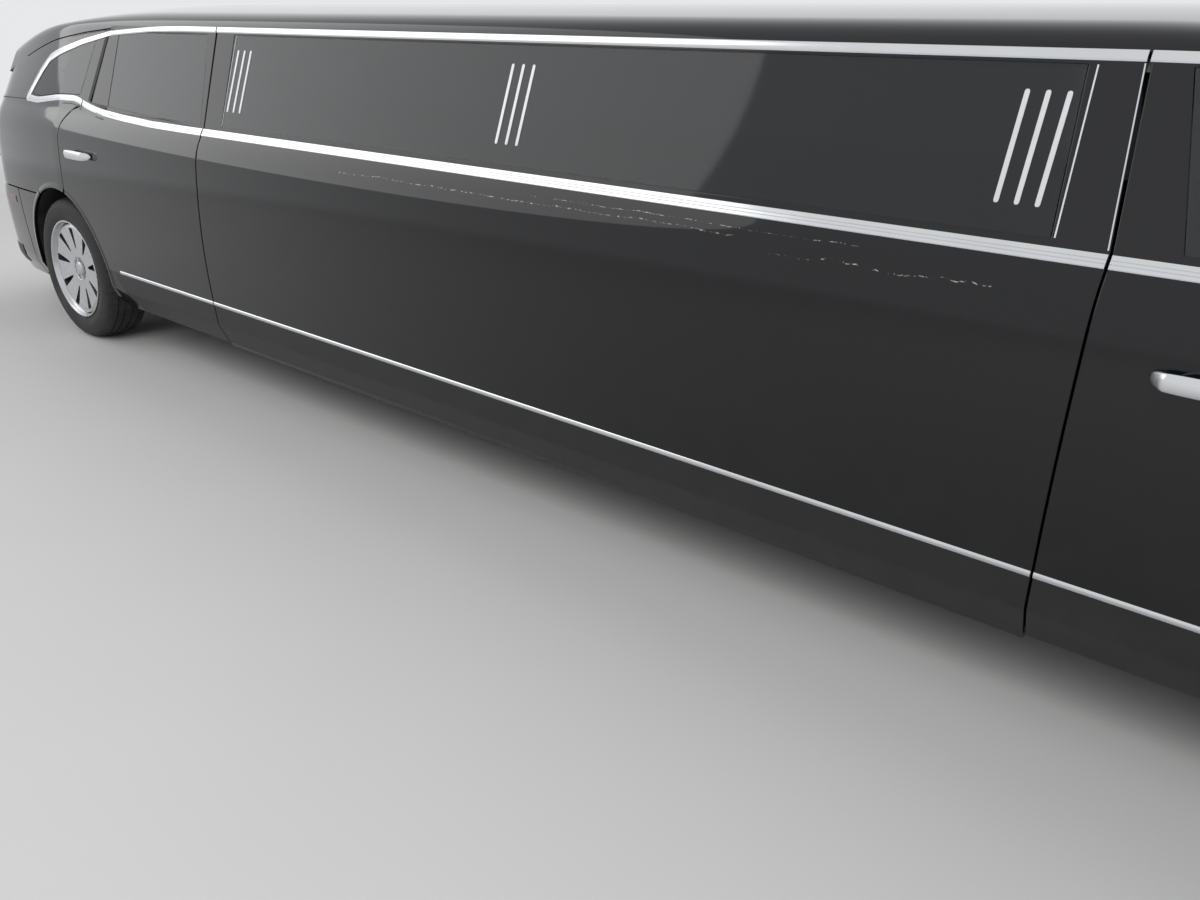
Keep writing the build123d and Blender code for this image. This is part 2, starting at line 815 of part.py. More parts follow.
def glass_sheet(outer, points, side):
    """The sheet that fills a window in side view, on the left (side 1) or the right (side -1)."""
    with BuildPart() as sheet:
        with BuildSketch(Plane.XZ):
            Polygon(*points, align=None)
            offset(amount=-seat_gap, mode=Mode.REPLACE)
        extrude(amount=-side * half_span)
        add(outer.moved(Location((0, -side * glass_recess, 0))), mode=Mode.INTERSECT)
        add(outer.moved(Location((0, -side * (glass_recess + glass_thickness), 0))), mode=Mode.SUBTRACT)
    return sheet.part


for name, outline, window in door_specs:
    for side, side_name in ((1, "left"), (-1, "right")):
        with BuildPart() as door_glass:
            add(glass_sheet(cabin_outer.part, window, side))
        finish(door_glass, f"{name}_glass_{side_name}")

with BuildPart() as side_windows:
    for side in (1, -1):
        add(glass_sheet(cabin_outer.part, stretch_window, side))
        add(glass_sheet(tail_outer.part, quarter_window, side))
finish(side_windows, "side_windows")

with BuildPart() as windscreen:
    with BuildSketch(Plane.YZ.offset(cabin_rear_x)):
        with BuildLine():
            hollow_outline(1, 1, seat_gap)
        make_face()
    extrude(amount=cabin_run + 200)
    add(above_front_roof.moved(under_ceiling), mode=Mode.SUBTRACT)
    add(screen_cutter(glass_recess), mode=Mode.SUBTRACT)
    add(screen_cutter(glass_recess + 2 * glass_thickness), mode=Mode.INTERSECT)
    add(block((0, -half_span, cowl_z + seat_gap), (nose_x, half_span, 1900)), mode=Mode.INTERSECT)
finish(windscreen, "windscreen")

with BuildPart() as tailgate_glass:
    with BuildSketch(Plane.YZ.offset(tail_x - 100)):
        Polygon(*tailgate_window, align=None)
        offset(amount=-seat_gap, mode=Mode.REPLACE)
    extrude(amount=800)
    add(above_shelf.moved(Location((glass_recess, 0, 0))), mode=Mode.SUBTRACT)
    add(above_shelf.moved(Location((glass_recess + 2 * glass_thickness, 0, 0))), mode=Mode.INTERSECT)
finish(tailgate_glass, "tailgate_glass")

# Grille: upright bars in a frame, set back from the nose's surface
grille_bar = 9
grille_pitch = 42
with BuildPart() as grille:
    with BuildSketch(Plane.YZ.offset(nose_x - 400)):
        grille_mid_z = (grille_low_z + lamp_high_z) / 2
        with Locations((0, grille_mid_z)):
            Rectangle(2 * (grille_half - seat_gap), lamp_high_z - grille_low_z - 2 * seat_gap)
        with GridLocations(grille_pitch, 0, 18, 1):
            with Locations((0, grille_mid_z)):
                Rectangle(grille_pitch - grille_bar, lamp_high_z - grille_low_z - 50, mode=Mode.SUBTRACT)
    extrude(amount=400)
    add(beyond_nose.moved(Location((-12, 0, 0))), mode=Mode.SUBTRACT)
    add(beyond_nose.moved(Location((-45, 0, 0))), mode=Mode.INTERSECT)
finish(grille, "grille")

# Wheels, made about their own centre with the outer side towards +Y
bead_half = 104
flange_radius = 257
barrel_radius = 228
rim_half = 112
spoke_face = 88
spoke_back = 58
hub_radius = 76
hub_back = 20
disc_radius = 170
disc_low = -46
disc_high = -20
spindle_radius = 31
spindle_gap = 0.5
cap_radius = 62

with BuildPart() as tyre_master:
    with BuildSketch(Plane.YZ):
        with BuildLine():
            half = tyre_width / 2
            bead = (bead_half, rim_radius + seat_gap)
            for side in (same, mirrored):
                Line(side(bead), side((bead_half, flange_radius + 2)))
                ThreePointArc(side((bead_half, flange_radius + 2)), side((half, 305)), side((half - 14, 352)))
                ThreePointArc(side((half - 14, 352)), side((half - 22, 362)), side((half - 34, 367)))
            ThreePointArc((half - 34, 367), (0, tyre_radius), (34 - half, 367))
            Line(bead, mirrored(bead))
        make_face()
    revolve(axis=Axis.Y)

with BuildPart() as rim_master:
    with BuildSketch(Plane.YZ):
        Polygon(
            (-rim_half, barrel_radius),
            (rim_half, barrel_radius),
            (rim_half, flange_radius),
            (bead_half + seat_gap, flange_radius),
            (bead_half + seat_gap, rim_radius),
            (-bead_half - seat_gap, rim_radius),
            (-bead_half - seat_gap, flange_radius),
            (-rim_half, flange_radius),
            align=None,
        )
        Polygon(
            (spoke_back, barrel_radius + 5),
            (spoke_back - 18, hub_radius),
            (hub_back, hub_radius),
            (hub_back, spindle_radius + 5),
            (spoke_face - 20, spindle_radius + 5),
            (spoke_face - 20, 0),
            (spoke_face - 8, 0),
            (spoke_face - 8, cap_radius),
            (spoke_face - 12, cap_radius + 6),
            (spoke_face, barrel_radius + 5),
            align=None,
        )
    revolve(axis=Axis.Y)
    with BuildSketch(Plane.XZ.offset(-150)):
        with PolarLocations(0, spoke_count, start_angle=90):
            Polygon((98, -5), (98, 5), (218, 33), (218, -33), align=None)
        fillet(vertices(), 4)
    extrude(amount=150, mode=Mode.SUBTRACT)

with BuildPart() as disc_master:
    with BuildSketch(Plane.YZ):
        Polygon(
            (disc_low, spindle_radius + spindle_gap),
            (disc_low, disc_radius),
            (disc_high, disc_radius),
            (disc_high, hub_radius),
            (hub_back - seat_gap, hub_radius),
            (hub_back - seat_gap, spindle_radius + spindle_gap),
            align=None,
        )
    revolve(axis=Axis.Y)

# Upright with its spindle and brake caliper. The caliper sits behind the axle.
caliper_gap = 4
upright_low = disc_low - 34
ball_z = 150
ball_radius = 22
kingpin_offset = kingpin_y - track_half
with BuildPart() as upright_master:
    with BuildSketch(Plane.YZ):
        Polygon(
            (upright_low, 0),
            (hub_back - 4, 0),
            (hub_back - 4, spindle_radius),
            (disc_low - 8, spindle_radius),
            (disc_low - 8, 58),
            (upright_low, 58),
            align=None,
        )
    revolve(axis=Axis.Y)
    with BuildSketch(Plane.XY.offset(-ball_z)):
        with Locations((0, (upright_low + disc_low - 8) / 2)):
            Rectangle(50, disc_low - 8 - upright_low)
    extrude(amount=2 * ball_z)
    with BuildSketch(Plane.XZ.offset(-upright_low)):
        with Locations((-155, 0)):
            Rectangle(110, 110)
        with Locations((-70, 0)):
            Rectangle(80, 60)
    extrude(amount=-(disc_high + caliper_gap + 26 - upright_low))
    with BuildSketch(Plane.XZ.offset(-disc_low + caliper_gap)):
        Circle(disc_radius + caliper_gap)
    extrude(amount=-(disc_high - disc_low + 2 * caliper_gap), mode=Mode.SUBTRACT)
    with BuildSketch(Plane.XZ.offset(-disc_high - caliper_gap + 1)):
        Circle(hub_radius + 8)
    extrude(amount=-60, mode=Mode.SUBTRACT)
    with BuildSketch(Plane.XZ.offset(-disc_low + caliper_gap)):
        Circle(spindle_radius)
    extrude(amount=-(hub_back - 4 - disc_low + caliper_gap))

# The wheels, brakes and uprights at their four places
wheel_places = [
    # axle, x, side, side name
    ("front", front_axle, 1, "left"),
    ("front", front_axle, -1, "right"),
    ("rear", rear_axle, 1, "left"),
    ("rear", rear_axle, -1, "right"),
]
wheel_masters = [("tyre", tyre_master), ("wheel", rim_master), ("brake_disc", disc_master)]


def placed(part, x, side):
    """A piece made about a wheel's centre with its outer side towards +Y, set at its wheel's place."""
    turned = part if side > 0 else part.mirror(Plane.XZ)
    return turned.moved(Location((x, side * track_half, hub_z)))


for axle, x, side, side_name in wheel_places:
    for piece_name, master in wheel_masters:
        with BuildPart() as wheel_piece:
            add(placed(master.part, x, side))
        finish(wheel_piece, f"{axle}_{piece_name}_{side_name}")

# Front uprights turn about vertical ball joints
boss_height = 22
with BuildPart() as front_upright_master:
    add(upright_master.part)
    for end in (-1, 1):
        with BuildSketch(Plane.XY.offset(end * ball_z - boss_height / 2)):
            with Locations((0, kingpin_offset)):
                Circle(ball_radius)
            with Locations((0, (kingpin_offset + upright_low) / 2)):
                Rectangle(44, kingpin_offset - upright_low)
        extrude(amount=boss_height)

for side, side_name in ((1, "left"), (-1, "right")):
    with BuildPart() as front_knuckle:
        add(placed(front_upright_master.part, front_axle, side))
    finish(front_knuckle, f"front_knuckle_{side_name}")

with BuildPart() as rear_knuckles:
    for side in (1, -1):
        add(placed(upright_master.part, rear_axle, side))
finish(rear_knuckles, "rear_knuckles")

# Arms reach from the subframes to the uprights' ends
ball_gap = 0.5
arm_height = 24
arm_low_z = hub_z - ball_z - boss_height / 2 - ball_gap
arm_high_z = hub_z + ball_z + boss_height / 2 + ball_gap
strut_y = 590
strut_radius = 60
front_housing_radius = 456
strut_top_z = hub_z + math.sqrt(front_housing_radius**2 - strut_radius**2) - seat_gap
member_half = 430
member_low_z = 190

with BuildPart() as front_subframe:
    member_rear = (front_axle - 210, -member_half, member_low_z)
    add(block(member_rear, (front_axle + 180, member_half, member_low_z + 60)))
    opening_rear = (front_axle - 120, -member_half + 80, member_low_z - 5)
    add(block(opening_rear, (front_axle + 100, member_half - 80, 300)), mode=Mode.SUBTRACT)
    for side in (1, -1):
        with BuildSketch(Plane.XY.offset(arm_low_z - arm_height)):
            Polygon(
                (front_axle - 200, side * (member_half - 5)),
                (front_axle + 160, side * (member_half - 5)),
                (front_axle + 24, side * kingpin_y),
                (front_axle - 24, side * kingpin_y),
                align=None,
            )
            with Locations((front_axle, side * kingpin_y)):
                Circle(ball_radius)
            with Locations((front_axle, side * 500)):
                Circle(40, mode=Mode.SUBTRACT)
        extrude(amount=arm_height)
finish(front_subframe, "front_subframe")

with BuildPart() as front_struts:
    for side in (1, -1):
        with BuildSketch(Plane.XY.offset(arm_low_z)):
            with Locations((front_axle, side * strut_y)):
                Circle(28)
        extrude(amount=strut_top_z - arm_low_z)
        with BuildSketch(Plane.XY.offset(hub_z + 270)):
            with Locations((front_axle, side * strut_y)):
                Circle(strut_radius)
        extrude(amount=strut_top_z - hub_z - 270)
        with BuildSketch(Plane.XY.offset(arm_high_z)):
            with Locations((front_axle, side * (strut_y + kingpin_y) / 2)):
                Rectangle(44, kingpin_y - strut_y)
            with Locations((front_axle, side * kingpin_y)):
                Circle(ball_radius)
        extrude(amount=arm_height)
finish(front_struts, "front_struts")

rear_arm_y = track_half + upright_low - seat_gap
rear_floor_z = hub_z + 255
rear_spring_y = 560
rear_spring_radius = 55
with BuildPart() as rear_subframe:
    add(block((rear_axle - 160, -360, 250), (rear_axle + 160, 360, 320)))
    add(block((rear_axle - 100, -130, 240), (rear_axle + 100, 130, 420)))
    for side in (1, -1):
        for low in (hub_z - 120, hub_z - 60):
            near = block((rear_axle - 30, 300, low), (rear_axle + 30, rear_arm_y, low + 26))
            add(near if side > 0 else near.mirror(Plane.XZ))
        pillar = block((rear_axle - 40, 300, 300), (rear_axle + 40, 350, hub_z + 106))
        add(pillar if side > 0 else pillar.mirror(Plane.XZ))
        with BuildSketch(Plane.XY.offset(hub_z - 40)):
            with Locations((rear_axle, side * rear_spring_y)):
                Circle(rear_spring_radius)
        extrude(amount=rear_floor_z - 20 - seat_gap - hub_z + 40)
finish(rear_subframe, "rear_subframe")

# Floor: a pan with sills, raised over the rear axle, with a wheel housing over each wheel
bulkhead_x = hinge_seam + gap / 2
bulkhead_wall = 22
kick_x = rear_axle + 560
floor_rear_x = tail_x + 360
sill_half_door = 855
sill_top = 420
rear_housing_radius = 432
housing_wall = 5
housing_half = 840
tub_half = 640
sheet = 20

with BuildPart() as floor_pan:
    pan_low = (kick_x, -sill_half_door, floor_top - floor_thickness)
    add(block(pan_low, (bulkhead_x + bulkhead_wall, sill_half_door, floor_top)))
    add(block(pan_low, (kick_x + sheet, sill_half_door, rear_floor_z)))
    add(block((floor_rear_x, -tub_half, rear_floor_z - sheet), (kick_x + sheet, tub_half, rear_floor_z)))
    for side in (1, -1):
        for x_low, x_high, y_high in (
            (kick_x, rear_seam + gap, sill_half_door),
            (rear_seam + gap, front_seam - gap, inner_half - seat_gap),
            (front_seam - gap, bulkhead_x - seat_gap, sill_half_door),
        ):
            sill = block((x_low, sill_half_door - 75, door_bottom + 5), (x_high, y_high, sill_top))
            add(sill if side > 0 else sill.mirror(Plane.XZ))
finish(floor_pan, "floor_pan")

# Wheel housings, arched over each wheel and closed on their inner side
housing_places = [
    # axle, x, housing radius, inner half width, outer half width, height of the foot
    ("rear", rear_axle, rear_housing_radius, tub_half + seat_gap, housing_half, hub_z),
    ("front", front_axle, front_housing_radius, 500, housing_half, hub_z),
]
for axle, x, radius, inner, outer, foot_z in housing_places:
    with BuildPart() as housings:
        for side in (1, -1):
            with BuildSketch(Plane.XZ.offset(-side * inner)):
                with Locations((x, hub_z)):
                    Circle(radius + housing_wall)
                with Locations((x, foot_z - radius)):
                    Rectangle(3 * radius, 2 * radius, mode=Mode.SUBTRACT)
            extrude(amount=-side * (outer - inner))
            with BuildSketch(Plane.XZ.offset(-side * (inner + housing_wall))):
                with Locations((x, hub_z)):
                    Circle(radius)
            extrude(amount=-side * (outer - inner), mode=Mode.SUBTRACT)
    finish(housings, f"{axle}_wheel_housings")

# Bulkhead between the engine bay and the cabin
with BuildPart() as bulkhead:
    add(nose_hollow.part)
    bulkhead_low = (bulkhead_x, -sill_half_door, floor_top + seat_gap)
    add(block(bulkhead_low, (bulkhead_x + bulkhead_wall, sill_half_door, cowl_z - 75)), mode=Mode.INTERSECT)
finish(bulkhead, "bulkhead")

# Engine and gearbox, one plain block on the front subframe
engine_half = 290
engine_rear = front_axle - 440
with BuildPart() as engine:
    engine_low = (front_axle - 260, -engine_half, member_low_z + 60 + seat_gap)
    add(block(engine_low, (front_axle + 330, engine_half, 880)))
    fillet(engine.edges().filter_by(Axis.X), 40)
    add(block((engine_rear, -120, 180), (front_axle - 250, 120, 420)))
finish(engine, "engine")

# Driveshaft, exhaust and fuel tank under the floor
shaft_z = 215
shaft_radius = 32
diff_front = rear_axle + 100
pipe_y = -260
pipe_z = 212
muffler_rear = tail_x + 420
with BuildPart() as driveshaft:
    with BuildSketch(Plane.YZ.offset(diff_front + seat_gap)):
        with Locations((0, shaft_z)):
            Circle(shaft_radius)
    extrude(amount=engine_rear - diff_front - 2 * seat_gap)
finish(driveshaft, "driveshaft")

with BuildPart() as exhaust:
    with BuildSketch(Plane.YZ.offset(muffler_rear)):
        with Locations((pipe_y, pipe_z)):
            Circle(30)
    extrude(amount=hinge_seam - 60 - muffler_rear)
    with BuildSketch(Plane.YZ.offset(muffler_rear)):
        with Locations((pipe_y, pipe_z + 40)):
            RectangleRounded(420, 190, 80)
    extrude(amount=380)
    for hanger_x in (rear_seam, 0, front_seam):
        hanger_high = (hanger_x + 15, pipe_y + 15, floor_top - floor_thickness - seat_gap)
        add(block((hanger_x - 15, pipe_y - 15, pipe_z), hanger_high))
finish(exhaust, "exhaust")

with BuildPart() as fuel_tank:
    tank_low = (kick_x + 200, 120, 175)
    tank_high = (rear_seam + 300, 720, floor_top - floor_thickness - seat_gap)
    add(block(tank_low, tank_high))
    fillet(fuel_tank.edges().filter_by(Axis.Z), 60)
finish(fuel_tank, "fuel_tank")

# Driver's cell
seat_x = front_seam + 210
seat_half = 250
seat_mid_y = 395
with BuildPart() as front_seats:
    for side in (1, -1):
        with BuildSketch(Plane.XZ.offset(-side * (seat_mid_y - seat_half))):
            Polygon(
                (seat_x + 40, floor_top + seat_gap),
                (seat_x + 480, floor_top + seat_gap),
                (seat_x + 560, 470),
                (seat_x + 550, 590),
                (seat_x + 160, 560),
                (seat_x - 10, 1130),
                (seat_x - 130, 1130),
                (seat_x + 20, 500),
                align=None,
            )
        extrude(amount=-side * 2 * seat_half)
        rest = block((seat_x - 135, seat_mid_y - 130, 1130), (seat_x - 25, seat_mid_y + 130, 1330))
        add(rest if side > 0 else rest.mirror(Plane.XZ))
finish(front_seats, "front_seats")

with BuildPart() as dashboard:
    with BuildSketch(Plane.XZ):
        Polygon(
            (bulkhead_x - seat_gap, 640),
            (bulkhead_x - seat_gap, 1095),
            (bulkhead_x - 90, 1125),
            (bulkhead_x - 330, 1090),
            (bulkhead_x - 360, 960),
            (bulkhead_x - 240, 640),
            align=None,
        )
    extrude(amount=sill_half_door - 15, both=True)
finish(dashboard, "dashboard")

wheel_rake = 24
steering_radius = 185
steering_tube = 15
steering_centre = (bulkhead_x - 470, seat_mid_y, 985)
column_dir = (math.cos(math.radians(wheel_rake)), 0, -math.sin(math.radians(wheel_rake)))
steering_plane = Plane(origin=steering_centre, x_dir=(0, 1, 0), z_dir=column_dir)
with BuildPart() as steering_wheel:
    rim_plane = Plane(origin=steering_centre, x_dir=(0, 1, 0), z_dir=(-column_dir[2], 0, column_dir[0]))
    with BuildSketch(rim_plane):
        with Locations((steering_radius, 0)):
            Circle(steering_tube)
    revolve(axis=Axis(steering_centre, column_dir))
    with BuildSketch(steering_plane.offset(12)):
        Circle(62)
        for turn in (0, 180, 270):
            with Locations(Rotation(0, 0, turn)):
                with Locations((steering_radius / 2, 0)):
                    Rectangle(steering_radius, 34)
    extrude(amount=16)
    with BuildSketch(steering_plane.offset(12)):
        Circle(26)
    extrude(amount=60)
finish(steering_wheel, "steering_wheel")

with BuildPart() as steering_column:
    with BuildSketch(steering_plane.offset(12 + 60 + 0.5)):
        Circle(38)
    extrude(amount=420)
    add(dashboard.part, mode=Mode.SUBTRACT)
    add(block((bulkhead_x - 360, 0, 600), (bulkhead_x, half_span, 1300)), mode=Mode.SUBTRACT)
finish(steering_column, "steering_column")

# Passenger cabin
partition_x = front_seam - 60
partition_wall = 30
with BuildPart() as partition:
    with BuildSketch(Plane.YZ.offset(partition_x)):
        with BuildLine():
            hollow_outline(1, 1, seat_gap)
        make_face()
    extrude(amount=partition_wall)
    add(above_front_roof.moved(under_ceiling), mode=Mode.SUBTRACT)
    add(block((0, -half_span, 0), (nose_x, half_span, sill_top + seat_gap)), mode=Mode.SUBTRACT)
    foot_half = sill_half_door - 75 - seat_gap
    add(block((0, -foot_half, floor_top + seat_gap), (nose_x, foot_half, sill_top + 1)))
    hatch_high = (partition_x + partition_wall + 1, 420, 1480)
    add(block((partition_x - 1, -420, 1120), hatch_high), mode=Mode.SUBTRACT)
    add(block((partition_x + partition_wall, -half_span, 0), (nose_x, half_span, 1900)), mode=Mode.SUBTRACT)
    add(block((0, -half_span, 0), (partition_x, half_span, 1900)), mode=Mode.SUBTRACT)
finish(partition, "partition")

bench_back_y = inner_half - seat_gap
with BuildPart() as side_bench:
    with BuildSketch(Plane.YZ.offset(rear_seam + 350)):
        Polygon(
            (330, floor_top + seat_gap),
            (sill_half_door - 75 - seat_gap, floor_top + seat_gap),
            (sill_half_door - 75 - seat_gap, sill_top + seat_gap),
            (bench_back_y, sill_top + seat_gap),
            (bench_back_y, 1090),
            (740, 1090),
            (690, 700),
            (310, 720),
            align=None,
        )
    extrude(amount=stretch - 560)
finish(side_bench, "side_bench")

with BuildPart() as rear_bench:
    with BuildSketch(Plane.XZ):
        Polygon(
            (kick_x + sheet + seat_gap, floor_top + seat_gap),
            (kick_x + 570, floor_top + seat_gap),
            (kick_x + 600, 690),
            (kick_x + 220, 670),
            (kick_x + 90, 1180),
            (kick_x - 40, 1180),
            (kick_x - 10, rear_floor_z + seat_gap),
            (kick_x + sheet + seat_gap, rear_floor_z + seat_gap),
            align=None,
        )
    extrude(amount=680, both=True)
finish(rear_bench, "rear_bench")

with BuildPart() as bar_cabinet:
    with BuildSketch(Plane.YZ.offset(rear_seam + 900)):
        Polygon(
            (-500, floor_top + seat_gap),
            (-500, 800),
            (-bench_back_y, 800),
            (-bench_back_y, sill_top + seat_gap),
            (75 - sill_half_door + seat_gap, sill_top + seat_gap),
            (75 - sill_half_door + seat_gap, floor_top + seat_gap),
            align=None,
        )
    extrude(amount=1900)
finish(bar_cabinet, "bar_cabinet")

# Door mirrors, each on a foot at the front corner of the door's window
mirror_x = hinge_seam - 130
mirror_out = 1085
with BuildPart() as mirror_master:
    add(block((mirror_x - 50, shoulder_half - 5, 1190), (mirror_x + 45, mirror_out, 1325)))
    fillet(mirror_master.edges().filter_by(Axis.Y), 30)
    fillet(mirror_master.faces().sort_by(Axis.Y)[-1].edges(), 20)
    add(block((mirror_x - 25, belt_half - 40, 1165), (mirror_x + 35, shoulder_half + 30, 1205)))
    add(cabin_outer.part.moved(Location((0, seat_gap, 0))), mode=Mode.SUBTRACT)
for side, side_name in ((1, "left"), (-1, "right")):
    with BuildPart() as door_mirror:
        add(mirror_master.part if side > 0 else mirror_master.part.mirror(Plane.XZ))
    finish(door_mirror, f"door_mirror_{side_name}")
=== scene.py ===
"""Visual model of a black stretch limousine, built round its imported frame.

Lengths are metres: +X is forward, +Y the left side, +Z up. The body's outside is one formula, a cross
section that narrows towards both ends and is rounded into them, and every panel is a patch of it.
"""
import math

import bpy
import numpy as np
from mathutils import Matrix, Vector
from bpy.props import FloatProperty, FloatVectorProperty, IntProperty, PointerProperty


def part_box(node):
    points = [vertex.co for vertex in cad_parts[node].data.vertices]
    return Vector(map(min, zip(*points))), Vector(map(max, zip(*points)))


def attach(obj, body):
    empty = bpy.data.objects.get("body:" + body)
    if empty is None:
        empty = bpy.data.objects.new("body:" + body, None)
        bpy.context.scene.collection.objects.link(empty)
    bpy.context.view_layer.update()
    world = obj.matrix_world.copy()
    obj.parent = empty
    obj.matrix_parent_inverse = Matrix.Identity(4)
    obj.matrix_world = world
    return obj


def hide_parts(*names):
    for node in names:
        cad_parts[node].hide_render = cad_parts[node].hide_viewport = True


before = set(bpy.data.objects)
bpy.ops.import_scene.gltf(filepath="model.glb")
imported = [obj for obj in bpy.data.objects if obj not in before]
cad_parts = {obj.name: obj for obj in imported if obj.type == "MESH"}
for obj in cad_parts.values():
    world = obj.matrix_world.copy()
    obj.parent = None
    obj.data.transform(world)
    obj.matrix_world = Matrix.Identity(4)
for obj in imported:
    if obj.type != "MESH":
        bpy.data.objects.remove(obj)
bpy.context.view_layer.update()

bl_info = {
    "name": "Stretch limousine",
    "version": (1, 0, 0),
    "blender": (4, 5, 0),
    "location": "3D View > Sidebar > Limousine",
    "description": "Builds the body, glass, trim, wheels and cabin of a stretch limousine",
    "category": "Object",
}


def corner(node, axis, high):
    """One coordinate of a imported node's box."""
    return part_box(node)[1 if high else 0][axis]


def middle(node):
    """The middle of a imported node's box, as an array."""
    low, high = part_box(node)
    return (np.array(low) + np.array(high)) / 2


half_gap = 0.003
hinge_seam = corner("front_door_left", 0, True) + half_gap
front_seam = corner("stretch_panels", 0, True) + half_gap
rear_seam = corner("rear_door_left", 0, True) + half_gap
rear_axle, track_half, hub_z = middle("rear_tyre_left")
front_axle = middle("front_tyre_left")[0]
nose_x = corner("front_bumper", 0, True)
tail_x = corner("rear_bumper", 0, False)

sill_z = 0.445
belt_z = 1.185
glass_low = 1.190
glass_high = 1.559
arch_radius = 0.425
pillar_lean = 0.040

# The cross section's corners, and how far each run between them bows out
section_z = np.array([0.235, 0.345, 0.445, 1.040, 1.161, 1.185, 1.575, 1.647])
section_y = np.array([0.878, 0.935, 0.945, 0.950, 0.907, 0.893, 0.757, 0.674])
section_bow = np.array([0, 0, 0.015, 0.008, 0, 0, 0.021])
roof_edge = 0.674
crown_z = 1.712
crown_drop = 0.065

# Distance behind the rear axle, width scale under the belt, width scale above it
tail_table = np.array([[-0.05, 1, 1], [0.33, 0.99, 0.975], [0.80, 0.955, 0.90], [1.29, 0.86, 0.77]])
# Distance ahead of the hinge seam, width scale, shoulder height, edge half width, edge and crown height
nose_table = np.array([
    [0.00, 1.00, 1.040, 0.893, 1.180, 1.215],
    [0.35, 1.00, 1.015, 0.850, 1.105, 1.150],
    [0.90, 0.99, 0.965, 0.790, 1.030, 1.090],
    [1.52, 0.94, 0.880, 0.700, 0.930, 0.990],
])
tail_cubics = [np.polyfit(tail_table[:, 0], tail_table[:, i], 3) for i in (1, 2)]
nose_cubics = [np.polyfit(nose_table[:, 0], nose_table[:, i], 3) for i in range(1, 6)]


def tail_scales(x):
    """Cubics through the table's widths behind the rear axle, and 1 ahead of it."""
    behind = np.clip(rear_axle - x, -0.05, 1.33)
    return [np.where(behind > -0.05, np.minimum(np.polyval(c, behind), 1), 1) for c in tail_cubics]


def nose_values(x):
    """Cubics through the table's columns ahead of the hinge seam."""
    ahead = np.clip(x - hinge_seam, 0, 1.52)
    return [np.polyval(c, ahead) for c in nose_cubics]


def half_width(x, z):
    """Half the body's width: straight runs between the section's corners, each with a parabola on it,
    times a width that shrinks by cubics towards the tail; ahead of the hinge seam the corners move by
    cubics as well."""
    x, z = np.broadcast_arrays(np.asarray(x, float), np.asarray(z, float))
    run = np.clip(np.searchsorted(section_z, z, side="right") - 1, 0, 6)
    share = np.clip((z - section_z[run]) / (section_z[run + 1] - section_z[run]), 0, 1)
    cabin = np.interp(z, section_z, section_y) + 4 * section_bow[run] * share * (1 - share)
    cabin = cabin - np.clip(z - section_z[-1], 0, None) * 1.5
    low, high = tail_scales(x)
    upper = np.clip((z - belt_z) / (section_z[6] - belt_z), 0, 1)
    cabin = cabin * (low + (high - low) * upper)
    scale, shoulder, edge_y, edge_z, _ = nose_values(x)
    low_part = np.interp(z, section_z[:3], section_y[:3]) * scale
    s = np.clip((z - sill_z) / (shoulder - sill_z), 0, 1)
    middle_part = (section_y[2] + 0.005 * s + 0.06 * s * (1 - s)) * scale
    t = np.clip((z - shoulder) / (edge_z - shoulder), 0, 1)
    top_part = section_y[3] * scale * (1 - t) + edge_y * t + 0.068 * t * (1 - t)
    nose = np.where(z < sill_z, low_part, np.where(z < shoulder, middle_part, top_part))
    return np.where(x > hinge_seam, nose, cabin)


def arc_drop(y, depth, half):
    """How far an arc that falls by depth at half has fallen at y."""
    radius = (half * half + depth * depth) / (2 * depth)
    return radius - np.sqrt(np.maximum(radius * radius - y * y, 0))


def smooth_max(p, q, k):
    """The larger of two values, with a parabola of width k where they cross."""
    return np.maximum(p, q) + np.maximum(k - np.abs(p - q), 0) ** 2 / (4 * k)


def halved(near, far, beyond, steps=30):
    """The place between near and far past which a test is true, found by halving, for whole arrays."""
    for _ in range(steps):
        mid = (near + far) / 2
        past = beyond(mid)
        near, far = np.where(past, near, mid), np.where(past, mid, far)
    return (near + far) / 2


tail_turn = rear_axle - 0.42
nose_turn = front_axle + 0.28
turn_radius = 0.92
shelf_z = 1.13
corner_blend = 0.17
tail_end = tail_turn - turn_radius * math.pi / 2
nose_end = nose_turn + turn_radius * math.pi / 2


def tail_face(y, z):
    """The tail's end: an arc in plan, upright up to the shelf and raked forwards above it."""
    rake = smooth_max((z - shelf_z) * 0.5233 + 0.035, np.zeros_like(z), 0.07)
    return tail_x + 0.070 + arc_drop(y, 0.370, 0.96) + rake


def bumper_face(y, z):
    """The rear bumper's end: a rounder arc in plan, tucked in below."""
    tuck = 0.05 * np.clip((0.42 - z) / 0.18, 0, 1) ** 2 + 0.03 * np.clip((z - 0.66) / 0.08, 0, 1) ** 2
    return tail_x + 0.004 + arc_drop(y, 0.400, 0.96) + tuck


def nose_face(y, z):
    """The nose's end: an arc in plan, leaning back above the bumper and tucked in below."""
    lean = 0.07 * np.clip((z - 0.62) / 0.31, 0, 1.4) ** 1.8
    tuck = 0.05 * np.clip((0.40 - z) / 0.16, 0, 1) ** 2
    return nose_x - 0.006 - arc_drop(y, 0.520, 1.0) - lean - tuck


def shell(a, z, end=tail_face):
    """The body's side at distance a along it and height z. Past the turning points a runs round the
    corner, along rays from the middle line, out to where the side and the end meet in a smooth maximum."""
    a, z = np.broadcast_arrays(np.asarray(a, float), np.asarray(z, float))
    foot = np.clip(a, tail_turn, nose_turn)
    angle = (a - foot) / turn_radius
    along, out = np.sin(angle), np.cos(angle)
    front = a > 0

    def outside(r):
        x, y = foot + r * along, r * out
        cap = np.where(front, x - nose_face(y, z), end(y, z) - x)
        return smooth_max(y - half_width(x, z), cap, corner_blend) > 0

    r = np.where(angle == 0, half_width(a, z), halved(0.2, 1.7, outside, 34))
    return np.stack([foot + r * along, r * out, z], -1)


